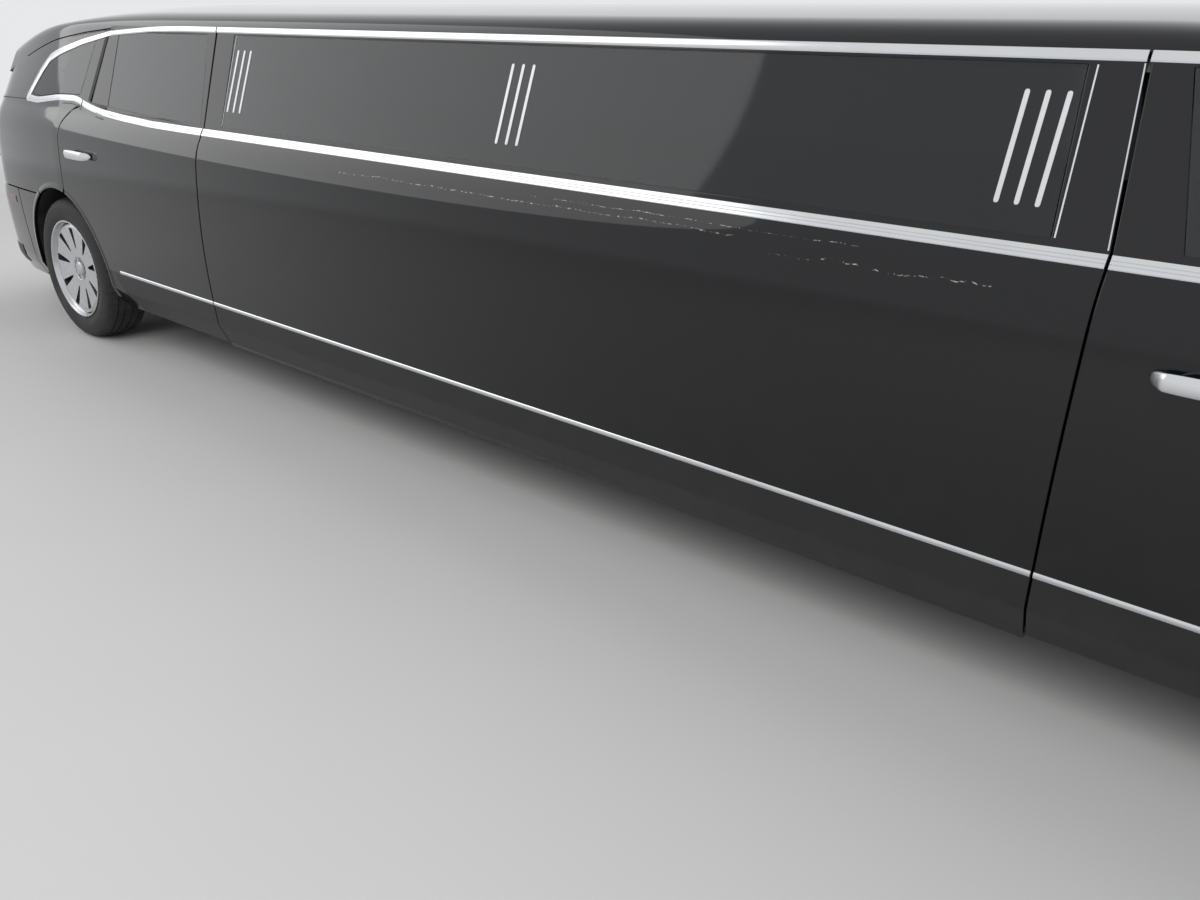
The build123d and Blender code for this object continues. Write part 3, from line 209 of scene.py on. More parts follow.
def end_shell(u, z, middle_a, sense, end=tail_face):
    """One end of the body: the side at distance u from that end's middle line, and its mirror image where
    u is negative, to the right."""
    point = shell(middle_a + sense * np.abs(u), z, end)
    point[..., 1] *= np.where(u < 0, -1, 1)
    return point


def tail_shell(u, z):
    """The tail over the rear bumper."""
    return end_shell(u, z, tail_end, 1)


def bumper_shell(u, z):
    """The tail at the rear bumper."""
    return end_shell(u, z, tail_end, 1, bumper_face)


def nose_shell(u, z):
    """The nose, over its bumper and its lamps."""
    return end_shell(u, z, nose_end, -1)


# Unit section over the roof, from the belt up to the crown
arc_share = np.linspace(0, 1, 12)
over_y = np.concatenate([
    [section_y[5]],
    section_y[6] + (roof_edge - section_y[6]) * arc_share + 0.011 * 4 * arc_share * (1 - arc_share) * 0.655,
    roof_edge * (1 - np.linspace(0.05, 1, 40)),
])
over_z = np.concatenate([
    [belt_z],
    section_z[6] + 0.072 * arc_share + 0.011 * 4 * arc_share * (1 - arc_share) * 0.755,
    crown_z - crown_drop * (1 - np.linspace(0.05, 1, 40)) ** 2,
])


def tail_drop(x):
    """How far the roof falls behind the rear axle beyond its long arc: a parabola."""
    return 0.10 * np.clip((rear_axle - 0.10 - x) / 0.785, 0, 1.2) ** 2


# Radii of the arcs along which the roof falls at the front and at the back
front_arc, back_arc = 3.407, 11.761


def roof_z(x, y):
    """The roof's height: the section over the belt, read backwards at y over its scale, under a crowned
    surface that falls along an arc at the front and at the back."""
    y = np.abs(y)
    low, high = tail_scales(x)
    z = np.full_like(x, 1.6)
    for _ in range(6):
        upper = np.clip((z - belt_z) / (section_z[6] - belt_z), 0, 1)
        z = np.interp(y / (low + (high - low) * upper), over_y[::-1], over_z[::-1])
    front = np.clip(x - (front_seam - 0.120), 0, 1.2)
    back = np.clip(rear_axle + 1.0 - x, 0, 2.4)
    fall = front_arc - np.sqrt(front_arc**2 - front**2) + back_arc - np.sqrt(back_arc**2 - back**2)
    crowned = crown_z - crown_drop * (y / roof_edge) ** 2 - fall - tail_drop(x)
    return -smooth_max(-z, -crowned, 0.03)


edge_curve = np.array([
    # distance ahead of the rear axle, height of the roof's side edge
    [-1.10, 1.300], [-0.80, 1.385], [-0.45, 1.448], [-0.10, 1.512], [0.20, 1.548], [0.476, 1.570],
    [0.842, 1.584], [1.3, 1.586],
])


def eased(x, table, reach=0.05):
    """A broken line through a table's points, rounded by averaging it over a short reach."""
    steps = np.linspace(-reach, reach, 9)
    return np.mean([np.interp(x + s, table[:, 0], table[:, 1]) for s in steps], axis=0)


def roof_edge_z(x):
    """Height of the roof's side edge: level over the doors, and falling towards the tail."""
    front = np.clip((x - (front_seam + 0.36)) / 0.5, 0, 1) ** 2 * 0.09
    return eased(x - rear_axle, edge_curve) - front - tail_drop(x)


def roof_shell(x, v):
    """The roof at distance x and share v across it, which is bunched towards its steep sides."""
    x, v = np.broadcast_arrays(np.asarray(x, float), np.asarray(v, float))
    side = half_width(x, roof_edge_z(x))
    y = side * np.sin(np.clip(v / 0.75, -1, 1) * math.pi / 2)
    return np.stack([x, y, roof_z(x, y)], -1)


def roof_rear(v):
    """The roof's rear edge at share v across it: where it meets the tail's face, drawn forwards by a
    parabola at its corners."""
    x = np.full_like(v, -4.05)
    for _ in range(12):
        point = roof_shell(x, v)
        forwards = 0.085 * np.clip((np.abs(point[..., 1]) - 0.52) / 0.22, 0, 1) ** 2
        x = tail_face(point[..., 1], point[..., 2]) + 0.004 + forwards
    return roof_shell(x, v)


rear_edge = roof_rear(np.linspace(0, 0.75, 60))


def rear_edge_z(y):
    """Height of the roof's rear edge y out from its middle."""
    return np.interp(np.abs(y), rear_edge[:, 1], rear_edge[:, 2])


belt_curve = np.array([
    # distance ahead of the rear axle, height of the belt strip's lower edge
    [-0.42, 1.222], [-0.362, 1.206], [-0.232, 1.196], [0.013, 1.222], [0.216, 1.228], [0.353, 1.198],
    [0.496, 1.180], [0.717, 1.168], [1.0, 1.158], [1.3, 1.156],
])


def belt_low(x):
    """Height of the belt strip's lower edge: level, with a rise over the rear door's rear end."""
    return eased(x - rear_axle, belt_curve, 0.04)


def lean_x(seam, z):
    """Where a shut line that leans back above the belt stands at height z."""
    return seam - pillar_lean * np.maximum(0, z - belt_z) / (section_z[6] - belt_z)


def along_line(points, count):
    """A broken line resampled to count points, evenly by length."""
    points = np.asarray(points, float)
    steps = np.concatenate([[0], np.cumsum(np.hypot(*np.diff(points, axis=0).T))])
    where = np.linspace(0, steps[-1], count)
    return np.stack([np.interp(where, steps, points[:, i]) for i in range(points.shape[1])], -1)


def full_turn(count):
    """Bearings spread evenly round a full turn."""
    return np.linspace(0, 2 * math.pi, count, endpoint=False)


def coons(bottom, top, left, right):
    """A patch between four curves: the two ruled patches added, less the bilinear one."""
    v = np.linspace(0, 1, len(left))[:, None, None]
    u = np.linspace(0, 1, len(bottom))[None, :, None]
    ruled = (1 - v) * bottom[None] + v * top[None] + (1 - u) * left[:, None] + u * right[:, None]
    flat = (
        (1 - u) * (1 - v) * bottom[0] + u * (1 - v) * bottom[-1] + (1 - u) * v * top[0] + u * v * top[-1]
    )
    return ruled - flat


def between(first, last, rows):
    """A patch ruled between two curves of like count."""
    v = np.linspace(0, 1, rows)[:, None, None]
    return (1 - v) * first[None] + v * last[None]


def rounded(points, radius, steps=5):
    """A closed broken line with each corner replaced by a parabola that starts radius before it."""
    points = np.asarray(points, float)
    before, after = np.roll(points, 1, 0), np.roll(points, -1, 0)
    back = before - points
    ahead = after - points
    back *= np.minimum(radius / np.hypot(*back.T), 0.45)[:, None]
    ahead *= np.minimum(radius / np.hypot(*ahead.T), 0.45)[:, None]
    t = np.linspace(0, 1, steps)[None, :, None]
    curve = points[:, None] + back[:, None] * (1 - t) ** 2 + ahead[:, None] * t**2
    return curve.reshape(-1, 2)


def dense_loop(corners, count):
    """A closed broken line with each side resampled to count points, its far end left out."""
    corners = np.asarray(corners, float)
    sides = zip(corners, np.roll(corners, -1, 0))
    return np.concatenate([along_line(side, count + 1)[:-1] for side in sides])


def bent(points, radius):
    """A broken line with its corners rounded, from its own first point to its last."""
    return np.concatenate([points[:1], rounded(points, radius)[4:-1], points[-1:]])


def grid_of(across, up):
    """A patch whose rows and columns are straight in both coordinates."""
    return np.stack(np.meshgrid(across, up), -1)


def rows_between(first, last, z, columns):
    """A patch of level rows, one at each height z, each running from its first place to its last."""
    first, last = (np.broadcast_to(np.asarray(end, float), z.shape)[:, None] for end in (first, last))
    places = first + (last - first) * np.linspace(0, 1, columns)
    return np.stack([places, np.repeat(z[:, None], columns, 1)], -1)


def arched(first, bend, last, rows):
    """A patch between two curves of like count whose cross lines are parabolas drawn towards a third."""
    t = np.linspace(0, 1, rows)[:, None, None]
    return (1 - t) ** 2 * first + 2 * t * (1 - t) * bend + t**2 * last


class Mesh:
    """Vertices and faces gathered from several patches."""

    def __init__(self):
        self.points = []
        self.quads = []
        self.marks = []
        self.count = 0

    def add(self, points, quads, mark=0):
        """Adds points and the faces between them, all of one finish."""
        points = np.asarray(points, float).reshape(-1, 3)
        quads = np.asarray(quads, int).reshape(-1, 4)
        self.points.append(points)
        self.quads.append(quads + self.count)
        self.marks.append(np.full(len(quads), mark))
        self.count += len(points)
        return self

    def mirrored(self, side):
        """Turns the whole to the right-hand side when side is negative."""
        if side < 0:
            self.points = [p * (1, -1, 1) for p in self.points]
            self.quads = [q[:, ::-1] for q in self.quads]
        return self

    def take(self, other):
        """Adds all of another mesh."""
        shift = self.count
        self.points += other.points
        self.quads += [q + shift for q in other.quads]
        self.marks += other.marks
        self.count += other.count
        return self


def grid_quads(rows, columns, wrap=False):
    """Corner numbers of a grid's cells, closed round its columns when wrap is set."""
    index = np.arange(rows * columns).reshape(rows, columns)
    if wrap:
        index = np.concatenate([index, index[:, :1]], 1)
    return np.stack([index[:-1, :-1], index[:-1, 1:], index[1:, 1:], index[1:, :-1]], -1).reshape(-1, 4)


# A point in the body's middle, and how much each direction from it counts in telling outward from inward
body_middle, outward_share = np.array([0, 0, 0.9]), np.array([0.02, 1, 1])


def lifted(surface, u, v, lift):
    """Points of a surface moved along its normal, which comes from small steps in both parameters."""
    point = surface(u, v)
    step = 0.002
    across = surface(u + step, v) - surface(u - step, v)
    up = surface(u, v + step) - surface(u, v - step)
    normal = np.cross(across, up)
    normal /= np.maximum(np.linalg.norm(normal, axis=-1, keepdims=True), 1e-12)
    outward = np.sum(normal * (point - body_middle) * outward_share, -1, keepdims=True)
    normal *= np.where(outward < 0, -1, 1)
    return point + normal * np.asarray(lift)[..., None]


def turned_out(points, quads, cells, by_area=False):
    """Quads, turned over where cells, a share of them, look inwards: each counts by its area, and by its
    distance from the body's middle as well unless by_area is set."""
    a, b, c = (points[cells[:, k]] for k in range(3))
    facing = np.cross(b - a, c - a)
    out = np.sum(facing * (a - body_middle) * outward_share, -1)
    if by_area:
        out = np.sign(out) * np.linalg.norm(facing, axis=-1)
    return quads[:, ::-1] if np.sum(out) < 0 else quads


def border(index):
    """The numbers round the edge of a grid of numbers."""
    return np.concatenate([index[0, :-1], index[:-1, -1], index[-1, :0:-1], index[:0:-1, 0]])


hem_steps = [(0.0026, 0), (0.0012, 0.0003), (0.0004, 0.0011), (0, 0.0026), (0, 0.012)]


def loop_normals(loop, weights):
    """Outward moves of a closed loop's points so that each hemmed edge moves out by one and each other
    edge stays in its own line."""
    step = np.roll(loop, -1, 0) - loop
    length = np.maximum(np.hypot(*step.T), 1e-9)
    normal = np.stack([step[:, 1], -step[:, 0]], -1) / length[:, None]
    area = np.sum(loop[:, 0] * np.roll(loop[:, 1], -1) - np.roll(loop[:, 0], -1) * loop[:, 1])
    normal *= 1 if area > 0 else -1
    last, last_weight = np.roll(normal, 1, 0), np.roll(weights, 1)
    det = last[:, 0] * normal[:, 1] - last[:, 1] * normal[:, 0]
    safe = np.where(np.abs(det) > 0.2, det, 1)
    solved = np.stack([
        (last_weight * normal[:, 1] - weights * last[:, 1]) / safe,
        (weights * last[:, 0] - last_weight * normal[:, 0]) / safe,
    ], -1)
    mean = (last + normal) / np.maximum(1 + np.sum(last * normal, -1), 0.5)[:, None]
    mean *= ((weights + last_weight) / 2)[:, None]
    return np.where((np.abs(det) > 0.2)[:, None], solved, mean)


def panel(surface, uv, hems="btlr", lift=0.0, wrap=False, inset=0.006, mark=0, steps=hem_steps):
    """A patch of a surface whose chosen edges turn in over a small radius and then run inwards. The edge
    rows stand inset inside the outline, so the patch stays flat up to its rounded edge."""
    rows, columns = uv.shape[:2]
    index = np.arange(rows * columns).reshape(rows, columns)
    if wrap:
        loops = [(index[0], np.full(columns, float("b" in hems)), -1),
                 (index[-1], np.full(columns, float("t" in hems)), 1)]
    else:
        sides = zip("brtl", (columns, rows, columns, rows))
        loops = [(border(index), np.concatenate([np.full(n - 1, float(edge in hems)) for edge, n in sides]), 1)]
    flat = uv.reshape(-1, 2).copy()
    edges = []
    for ring, weights, sense in loops:
        outline = flat[ring].copy()
        moves = loop_normals(outline, weights) * sense
        flat[ring] = outline - moves * inset
        edges.append((ring, outline, moves, weights, sense))
    points, quads = [lifted(surface, *flat.T, lift)], [grid_quads(rows, columns, wrap)]
    base = len(flat)
    for previous, outline, moves, weights, sense in edges:
        for back, drop in steps if weights.any() else ():
            points.append(lifted(surface, *(outline - moves * back).T, lift - drop))
            current = base + np.arange(len(outline))
            base += len(outline)
            band = np.stack([current, np.roll(current, -1), np.roll(previous, -1), previous], -1)
            if wrap and sense > 0:
                band = band[:, ::-1]
            quads.append(band[weights > 0])
            previous = current
    points, quads = np.concatenate(points), np.concatenate(quads)
    return Mesh().add(points, turned_out(points, quads, quads[: (rows - 1) * (columns - 1)], True), mark)


def sheet(grid, mark=0):
    """A grid of points in space as one sheet, with its faces turned away from the body's middle."""
    points, quads = grid.reshape(-1, 3), grid_quads(*grid.shape[:2])
    return Mesh().add(points, turned_out(points, quads, quads), mark)


def slab(surface, uv, lift, thickness, mark=0, wrap=False):
    """A closed sheet: a patch of a surface, the same patch further in, and a band between their edges."""
    rows, columns = uv.shape[:2]
    u, v = uv.reshape(-1, 2).T
    points = np.concatenate([lifted(surface, u, v, lift), lifted(surface, u, v, lift - thickness)])
    cells = grid_quads(rows, columns, wrap)
    shift = rows * columns
    index = np.arange(shift).reshape(rows, columns)
    rings = [index[0], index[-1][::-1]] if wrap else [border(index)]
    bands = [np.stack([r, r + shift, np.roll(r, -1) + shift, np.roll(r, -1)], -1) for r in rings]
    quads = np.concatenate([cells, cells[:, ::-1] + shift] + bands)
    return Mesh().add(points, turned_out(points, quads, cells), mark)


def strip(surface, path, width, profile, lift, mark=0, closed=False):
    """A profile carried along a path in a surface's own coordinates: each of its points lies a share of
    the half width to one side of the path, and a height above the surface."""
    path = np.asarray(path, float)
    step = np.roll(path, -1, 0) - np.roll(path, 1, 0) if closed else np.gradient(path, axis=0)
    step /= np.maximum(np.hypot(*step.T), 1e-9)[:, None]
    normal = np.stack([-step[:, 1], step[:, 0]], -1)
    across, height = np.asarray(profile, float).T
    half = np.broadcast_to(np.asarray(width, float) / 2, len(path))
    spread = path[:, None] + normal[:, None] * (across[None, :] * half[:, None])[..., None]
    heights = np.broadcast_to(height[None, :] + lift, spread.shape[:2])
    points = lifted(surface, spread[..., 0].ravel(), spread[..., 1].ravel(), heights.ravel())
    grid = points.reshape(len(path), len(across), 3)
    return tube(np.concatenate([grid, grid[:1]]) if closed else grid, not closed, mark)


def tube(grid, capped=True, mark=0):
    """A closed cross section carried along, with both ends closed towards their middle."""
    rows, columns = grid.shape[:2]
    points = grid.reshape(-1, 3)
    quads = grid_quads(rows, columns, True)
    a, b, c = (points[quads[:, k]] for k in range(3))
    centre = np.repeat(grid.mean(1), columns, 0)[quads[:, 0]]
    flip = np.sum(np.cross(b - a, c - a) * (a - centre)) < 0
    parts = [quads[:, ::-1] if flip else quads]
    for row, back in ((0, not flip), (rows - 1, flip)) if capped else ():
        ring = np.arange(columns) + row * columns
        hub = np.full(columns, len(points))
        points = np.concatenate([points, grid[row].mean(0)[None]])
        fan = np.stack([ring, np.roll(ring, -1), hub, hub], -1)
        parts.append(fan[:, ::-1] if back else fan)
    return Mesh().add(points, np.concatenate(parts), mark)


def lathe(profile, centre, count=96, mark=0):
    """A profile of radius and offset turned about an axis along Y through centre."""
    profile = np.asarray(profile, float)
    turn = full_turn(count)
    radius, offset = profile[:, 0][:, None], profile[:, 1][:, None]
    points = np.stack([
        radius * np.cos(turn) + centre[0], offset + 0 * turn + centre[1], radius * np.sin(turn) + centre[2],
    ], -1)
    quads = grid_quads(len(profile), count, True)
    return Mesh().add(points.reshape(-1, 3), quads, mark)


def finish_piece(name, mesh, looks, body, replaces=(), sharp=40):
    """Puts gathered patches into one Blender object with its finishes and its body."""
    points, quads, marks = (np.concatenate(part) for part in (mesh.points, mesh.quads, mesh.marks))
    triangle = (quads[:, 2] == quads[:, 3]) | (quads[:, 0] == quads[:, 1])
    four, tri = quads[~triangle], quads[triangle]
    tri = np.where(tri[:, :1] == tri[:, 1:2], tri[:, 1:4], tri[:, 0:3])
    loops = np.concatenate([four.ravel(), tri.ravel()])
    totals = np.repeat([4, 3], [len(four), len(tri)])
    data = bpy.data.meshes.new(name)
    data.vertices.add(len(points))
    data.vertices.foreach_set("co", points.ravel())
    data.loops.add(len(loops))
    data.loops.foreach_set("vertex_index", loops)
    data.polygons.add(len(totals))
    data.polygons.foreach_set("loop_start", np.concatenate([[0], np.cumsum(totals)[:-1]]))
    data.polygons.foreach_set("loop_total", totals)
    data.polygons.foreach_set("material_index", np.concatenate([marks[~triangle], marks[triangle]]))
    data.polygons.foreach_set("use_smooth", np.ones(len(totals), bool))
    data.update(calc_edges=True)
    data.validate()
    data.set_sharp_from_angle(angle=math.radians(sharp))
    for look in looks:
        data.materials.append(finishes[look])
    piece = bpy.data.objects.new(name, data)
    bpy.context.scene.collection.objects.link(piece)
    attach(piece, body)
    if replaces:
        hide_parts(*replaces)
    return piece


def lay(mesh, name, looks, body, side, replaces=()):
    """Finishes a piece of one side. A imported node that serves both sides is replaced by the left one."""
    own = [node for node in replaces if side > 0 or node.endswith("right")]
    return finish_piece(name, mesh.mirrored(side), looks, body, own)


def shade(tree, kind, settings=(), **inputs):
    """A shader node with its settings, and its inputs set or linked by name."""
    made = tree.nodes.new("ShaderNode" + kind)
    for key, value in settings:
        setattr(made, key, value)
    for name, value in inputs.items():
        socket = made.inputs[int(name[1:])] if name[0] == "_" else made.inputs[name.replace("_", " ")]
        if isinstance(value, bpy.types.NodeSocket):
            tree.links.new(value, socket)
        else:
            socket.default_value = value
    return made


def math_node(tree, operation, first, second=0.0, clamp=False):
    """The result of one operation on two values or sockets."""
    made = shade(tree, "Math", (("operation", operation), ("use_clamp", clamp)), _0=first, _1=second)
    return made.outputs[0]


def span(tree, value, low, high):
    """0 at low and 1 at high, smoothly."""
    made = shade(tree, "MapRange", (("interpolation_type", "SMOOTHSTEP"),), Value=value)
    made.inputs["From Min"].default_value = low
    made.inputs["From Max"].default_value = high
    return made.outputs[0]


def node_group(name, inputs, outputs, build):
    """A shader node group with named inputs and outputs, built once."""
    tree = bpy.data.node_groups.new(name, "ShaderNodeTree")
    for label, value in inputs:
        socket = tree.interface.new_socket(name=label, in_out="INPUT", socket_type="NodeSocketFloat")
        socket.default_value = value
    for label in outputs:
        tree.interface.new_socket(name=label, in_out="OUTPUT", socket_type="NodeSocketFloat")
    entry = tree.nodes.new("NodeGroupInput")
    leave = tree.nodes.new("NodeGroupOutput")
    made = build(tree, entry.outputs)
    for label, value in zip(outputs, made):
        tree.links.new(value, leave.inputs[label])
    return tree


def build_dust(tree, given):
    """Dust that thins out with height, broken up by noise."""
    place = shade(tree, "TexCoord").outputs["Object"]
    height = shade(tree, "SeparateXYZ", Vector=place).outputs["Z"]
    falling = math_node(tree, "SUBTRACT", given["Top"], height)
    share = math_node(tree, "DIVIDE", falling, given["Fade"], True)
    noise = shade(tree, "TexNoise", Vector=place, Scale=given["Scale"], Detail=8.0, Roughness=0.7).outputs[0]
    broken = span(tree, noise, 0.35, 0.75)
    return [math_node(tree, "MULTIPLY", math_node(tree, "MULTIPLY", share, broken), given["Amount"], True)]


def build_scuff(tree, given):
    """A thin wandering line of pale scuffs at a height, between two ends, broken up by noise."""
    place = shade(tree, "TexCoord").outputs["Object"]
    parts = shade(tree, "SeparateXYZ", Vector=place)
    along = shade(tree, "CombineXYZ", X=parts.outputs["X"])
    wander = shade(tree, "TexNoise", Vector=along.outputs[0], Scale=2.3, Detail=9.0, Roughness=0.68).outputs[0]
    shift = math_node(tree, "MULTIPLY", math_node(tree, "SUBTRACT", wander, 0.5), given["Wander"])
    line = math_node(tree, "ADD", given["Height"], shift)
    away = math_node(tree, "ABSOLUTE", math_node(tree, "SUBTRACT", parts.outputs["Z"], line))
    near = math_node(tree, "SUBTRACT", 1.0, math_node(tree, "DIVIDE", away, given["Width"]), True)
    spots = shade(tree, "TexNoise", Vector=place, Scale=46.0, Detail=6.0, Roughness=0.8).outputs[0]
    spots = span(tree, spots, 0.5, 0.62)
    after = math_node(tree, "GREATER_THAN", parts.outputs["X"], given["Start"])
    before = math_node(tree, "LESS_THAN", parts.outputs["X"], given["End"])
    right = math_node(tree, "LESS_THAN", parts.outputs["Y"], 0.0)
    inside = math_node(tree, "MULTIPLY", math_node(tree, "MULTIPLY", after, before), right)
    return [math_node(tree, "MULTIPLY", math_node(tree, "MULTIPLY", near, spots), inside, True)]


def build_grain(tree, given):
    """Fine pitting and soft waves for moulded, cast and rolled surfaces."""
    place = shade(tree, "TexCoord").outputs["Object"]
    fine = shade(tree, "TexNoise", Vector=place, Scale=given["Scale"], Detail=4.0, Roughness=0.6).outputs[0]
    cells = shade(tree, "TexVoronoi", Vector=place, Scale=given["Scale"]).outputs["Distance"]
    wide = shade(tree, "TexNoise", Vector=place, Scale=7.0, Detail=5.0, Roughness=0.6).outputs[0]
    height = math_node(tree, "ADD", fine, math_node(tree, "MULTIPLY", cells, given["Cells"]))
    return [height, wide]


groups = {}
# What dust and the soft waves add to a finish's roughness, and the colour of its scuffs
dust_rough, wave_rough = 0.5, 0.06
scuff_colour = (0.62, 0.60, 0.56)


def make_groups():
    """Builds the node groups that the finishes share."""
    groups["dust"] = node_group(
        "road_dust", (("Top", 0.6), ("Fade", 0.5), ("Scale", 9.0), ("Amount", 0.5)), ("Mask",), build_dust)
    groups["scuff"] = node_group(
        "scuff_line", (("Height", 1.1), ("Wander", 0.05), ("Width", 0.002), ("Start", 0.0), ("End", 1.0)),
        ("Mask",), build_scuff)
    groups["grain"] = node_group(
        "surface_grain", (("Scale", 400.0), ("Cells", 0.5)), ("Height", "Waves"), build_grain)


def use_group(tree, name, **inputs):
    """The outputs of a shared node group with its inputs set."""
    made = tree.nodes.new("ShaderNodeGroup")
    made.node_tree = groups[name]
    for label, value in inputs.items():
        made.inputs[label].default_value = value
    return made.outputs


def mixed(tree, share, first, second):
    """Two colours mixed by a share, each a value or a socket."""
    made = shade(tree, "MixRGB", (("blend_type", "MIX"),), Fac=share)
    for index, value in ((1, first), (2, second)):
        if isinstance(value, bpy.types.NodeSocket):
            tree.links.new(value, made.inputs[index])
        else:
            made.inputs[index].default_value = (*value[:3], 1)
    return made.outputs[0]


def make_finish(name, colour, rough, metal=0.0, grain=(300, 0.3, 0.02), dust=(0.5, 0.4, 0.3), shift=0.12,
                coat=0.0, scuffs=(), see_through=0.0, gloss=0.5, dust_colour=(0.30, 0.28, 0.25)):
    """A finish whose colour drifts in soft waves, with dust low down, fine grain in its bump, and scuffs
    where they are listed."""
    finish = bpy.data.materials.new(name)
    finish.use_nodes = True
    tree = finish.node_tree
    body = tree.nodes["Principled BSDF"]
    grained = use_group(tree, "grain", Scale=grain[0], Cells=grain[1])
    dark = tuple(c * (1 - shift) for c in colour)
    light = tuple(min(c * (1 + shift), 1) for c in colour)
    tint = mixed(tree, grained["Waves"], dark, light)
    mask = use_group(tree, "dust", Top=dust[0], Fade=dust[1], Amount=dust[2])["Mask"]
    for height, wander, width, start, end in scuffs:
        line = use_group(tree, "scuff", Height=height, Wander=wander, Width=width, Start=start, End=end)["Mask"]
        tint = mixed(tree, line, tint, scuff_colour)
    tree.links.new(mixed(tree, mask, tint, dust_colour), body.inputs["Base Color"])
    rising = math_node(tree, "ADD", math_node(tree, "MULTIPLY", mask, dust_rough),
                       math_node(tree, "MULTIPLY", grained["Waves"], wave_rough))
    even = max(rough - wave_rough / 2, 0.0)
    tree.links.new(math_node(tree, "ADD", rising, even, True), body.inputs["Roughness"])
    body.inputs["Metallic"].default_value = metal
    body.inputs["Coat Weight"].default_value = coat
    body.inputs["Coat Roughness"].default_value = 0.025
    body.inputs["Coat IOR"].default_value = 1.38
    body.inputs["Specular IOR Level"].default_value = gloss
    if see_through:
        body.inputs["Transmission Weight"].default_value = see_through
        body.inputs["IOR"].default_value = 1.5
    bump = shade(tree, "Bump", Height=grained["Height"], Strength=grain[2], Distance=0.001)
    tree.links.new(bump.outputs[0], body.inputs["Normal"])
    finish.diffuse_color = (*colour, 1)
    return finish


finishes = {}
# Scuffs under the belt: height, wander, width, first and last place along the body
paint_scuffs = (
    (1.108, 0.05, 0.0024, -0.75, 0.95), (1.085, 0.10, 0.0016, 1.05, 1.62), (1.128, 0.03, 0.0014, 0.2, 1.3),
)


def make_finishes(colours):
    """Makes every finish, with the colours that the panel offers."""
    # name: colour, roughness, metal, grain (scale, cells, strength), dust (top, fade, amount), and the rest
    table = {
        "paint": dict(colour=tuple(colours.paint_colour), rough=0.07, grain=(900, 0.2, 0.006),
                      dust=(0.75, 0.7, 0.03), coat=1.0, gloss=0.12, scuffs=paint_scuffs),
        "gloss_black": dict(colour=(0.004, 0.004, 0.005), rough=0.05, grain=(800, 0.2, 0.006),
                            dust=(0.6, 0.5, 0.03)),
        "glass": dict(colour=tuple(colours.glass_tint), rough=0.035, grain=(600, 0.1, 0.004),
                      dust=(1.4, 0.5, 0.02), see_through=0.9),
        "clear_glass": dict(colour=(0.42, 0.46, 0.45), rough=0.035, grain=(600, 0.1, 0.003),
                            dust=(1.2, 0.5, 0.02), see_through=0.97),
        "chrome": dict(colour=(0.74, 0.75, 0.77), rough=0.14, metal=1.0, grain=(500, 0.2, 0.02),
                       dust=(1.7, 1.6, 0.10), shift=0.06),
        "stripe": dict(colour=(0.66, 0.67, 0.68), rough=0.35, metal=0.4, grain=(900, 0.3, 0.03),
                       dust=(1.6, 0.4, 0.12)),
        "cladding": dict(colour=(0.014, 0.014, 0.015), rough=0.40, grain=(1300, 0.8, 0.22),
                         dust=(0.50, 0.4, 0.07), gloss=0.4),
        "rubber": dict(colour=(0.012, 0.012, 0.012), rough=0.6, grain=(700, 0.4, 0.2), dust=(1.0, 0.8, 0.2)),
        "tyre": dict(colour=(0.018, 0.018, 0.019), rough=0.72, grain=(520, 0.7, 0.35),
                     dust=(0.9, 0.7, 0.12)),
        "alloy": dict(colour=(0.60, 0.61, 0.63), rough=0.26, metal=0.92, grain=(900, 0.3, 0.05),
                      dust=(0.7, 0.5, 0.16), shift=0.08),
        "iron": dict(colour=(0.17, 0.15, 0.14), rough=0.55, metal=0.8, grain=(260, 0.8, 0.5),
                     dust=(0.7, 0.6, 0.4), shift=0.3),
        "steel": dict(colour=(0.06, 0.06, 0.062), rough=0.5, metal=0.5, grain=(240, 0.6, 0.4),
                      dust=(0.7, 0.6, 0.4)),
        "exhaust": dict(colour=(0.34, 0.31, 0.28), rough=0.42, metal=0.9, grain=(300, 0.5, 0.3),
                        dust=(0.5, 0.5, 0.4), shift=0.25),
        "leather": dict(colour=tuple(colours.seat_colour), rough=0.5, grain=(420, 1.6, 0.55),
                        dust=(0.3, 0.3, 0.1)),
        "cabin": dict(colour=(0.035, 0.033, 0.032), rough=0.75, grain=(1100, 0.9, 0.6), dust=(0.3, 0.2, 0.2)),
        "headliner": dict(colour=(0.16, 0.15, 0.14), rough=0.9, grain=(1500, 0.6, 0.6), dust=(0.3, 0.2, 0.1)),
        "cabinet": dict(colour=(0.045, 0.020, 0.012), rough=0.22, grain=(60, 0.4, 0.05), dust=(0.3, 0.2, 0.1),
                        coat=0.7, shift=0.5),
        "lamp": dict(colour=(0.86, 0.88, 0.90), rough=0.03, grain=(500, 0.1, 0.003), dust=(0.8, 0.5, 0.04),
                     see_through=1.0),
        "reflector": dict(colour=(0.85, 0.85, 0.86), rough=0.10, metal=1.0, grain=(200, 0.3, 0.02)),
        "lamp_red": dict(colour=(0.26, 0.008, 0.010), rough=0.05, grain=(150, 2.0, 0.15), coat=1.0,
                         dust=(0.9, 0.5, 0.08), shift=0.3),
        "marker": dict(colour=(0.11, 0.018, 0.012), rough=0.12, grain=(180, 2.0, 0.2), coat=0.6,
                       dust=(0.9, 0.5, 0.2)),
    }
    for name, values in table.items():
        finishes[name] = make_finish(name, **values)


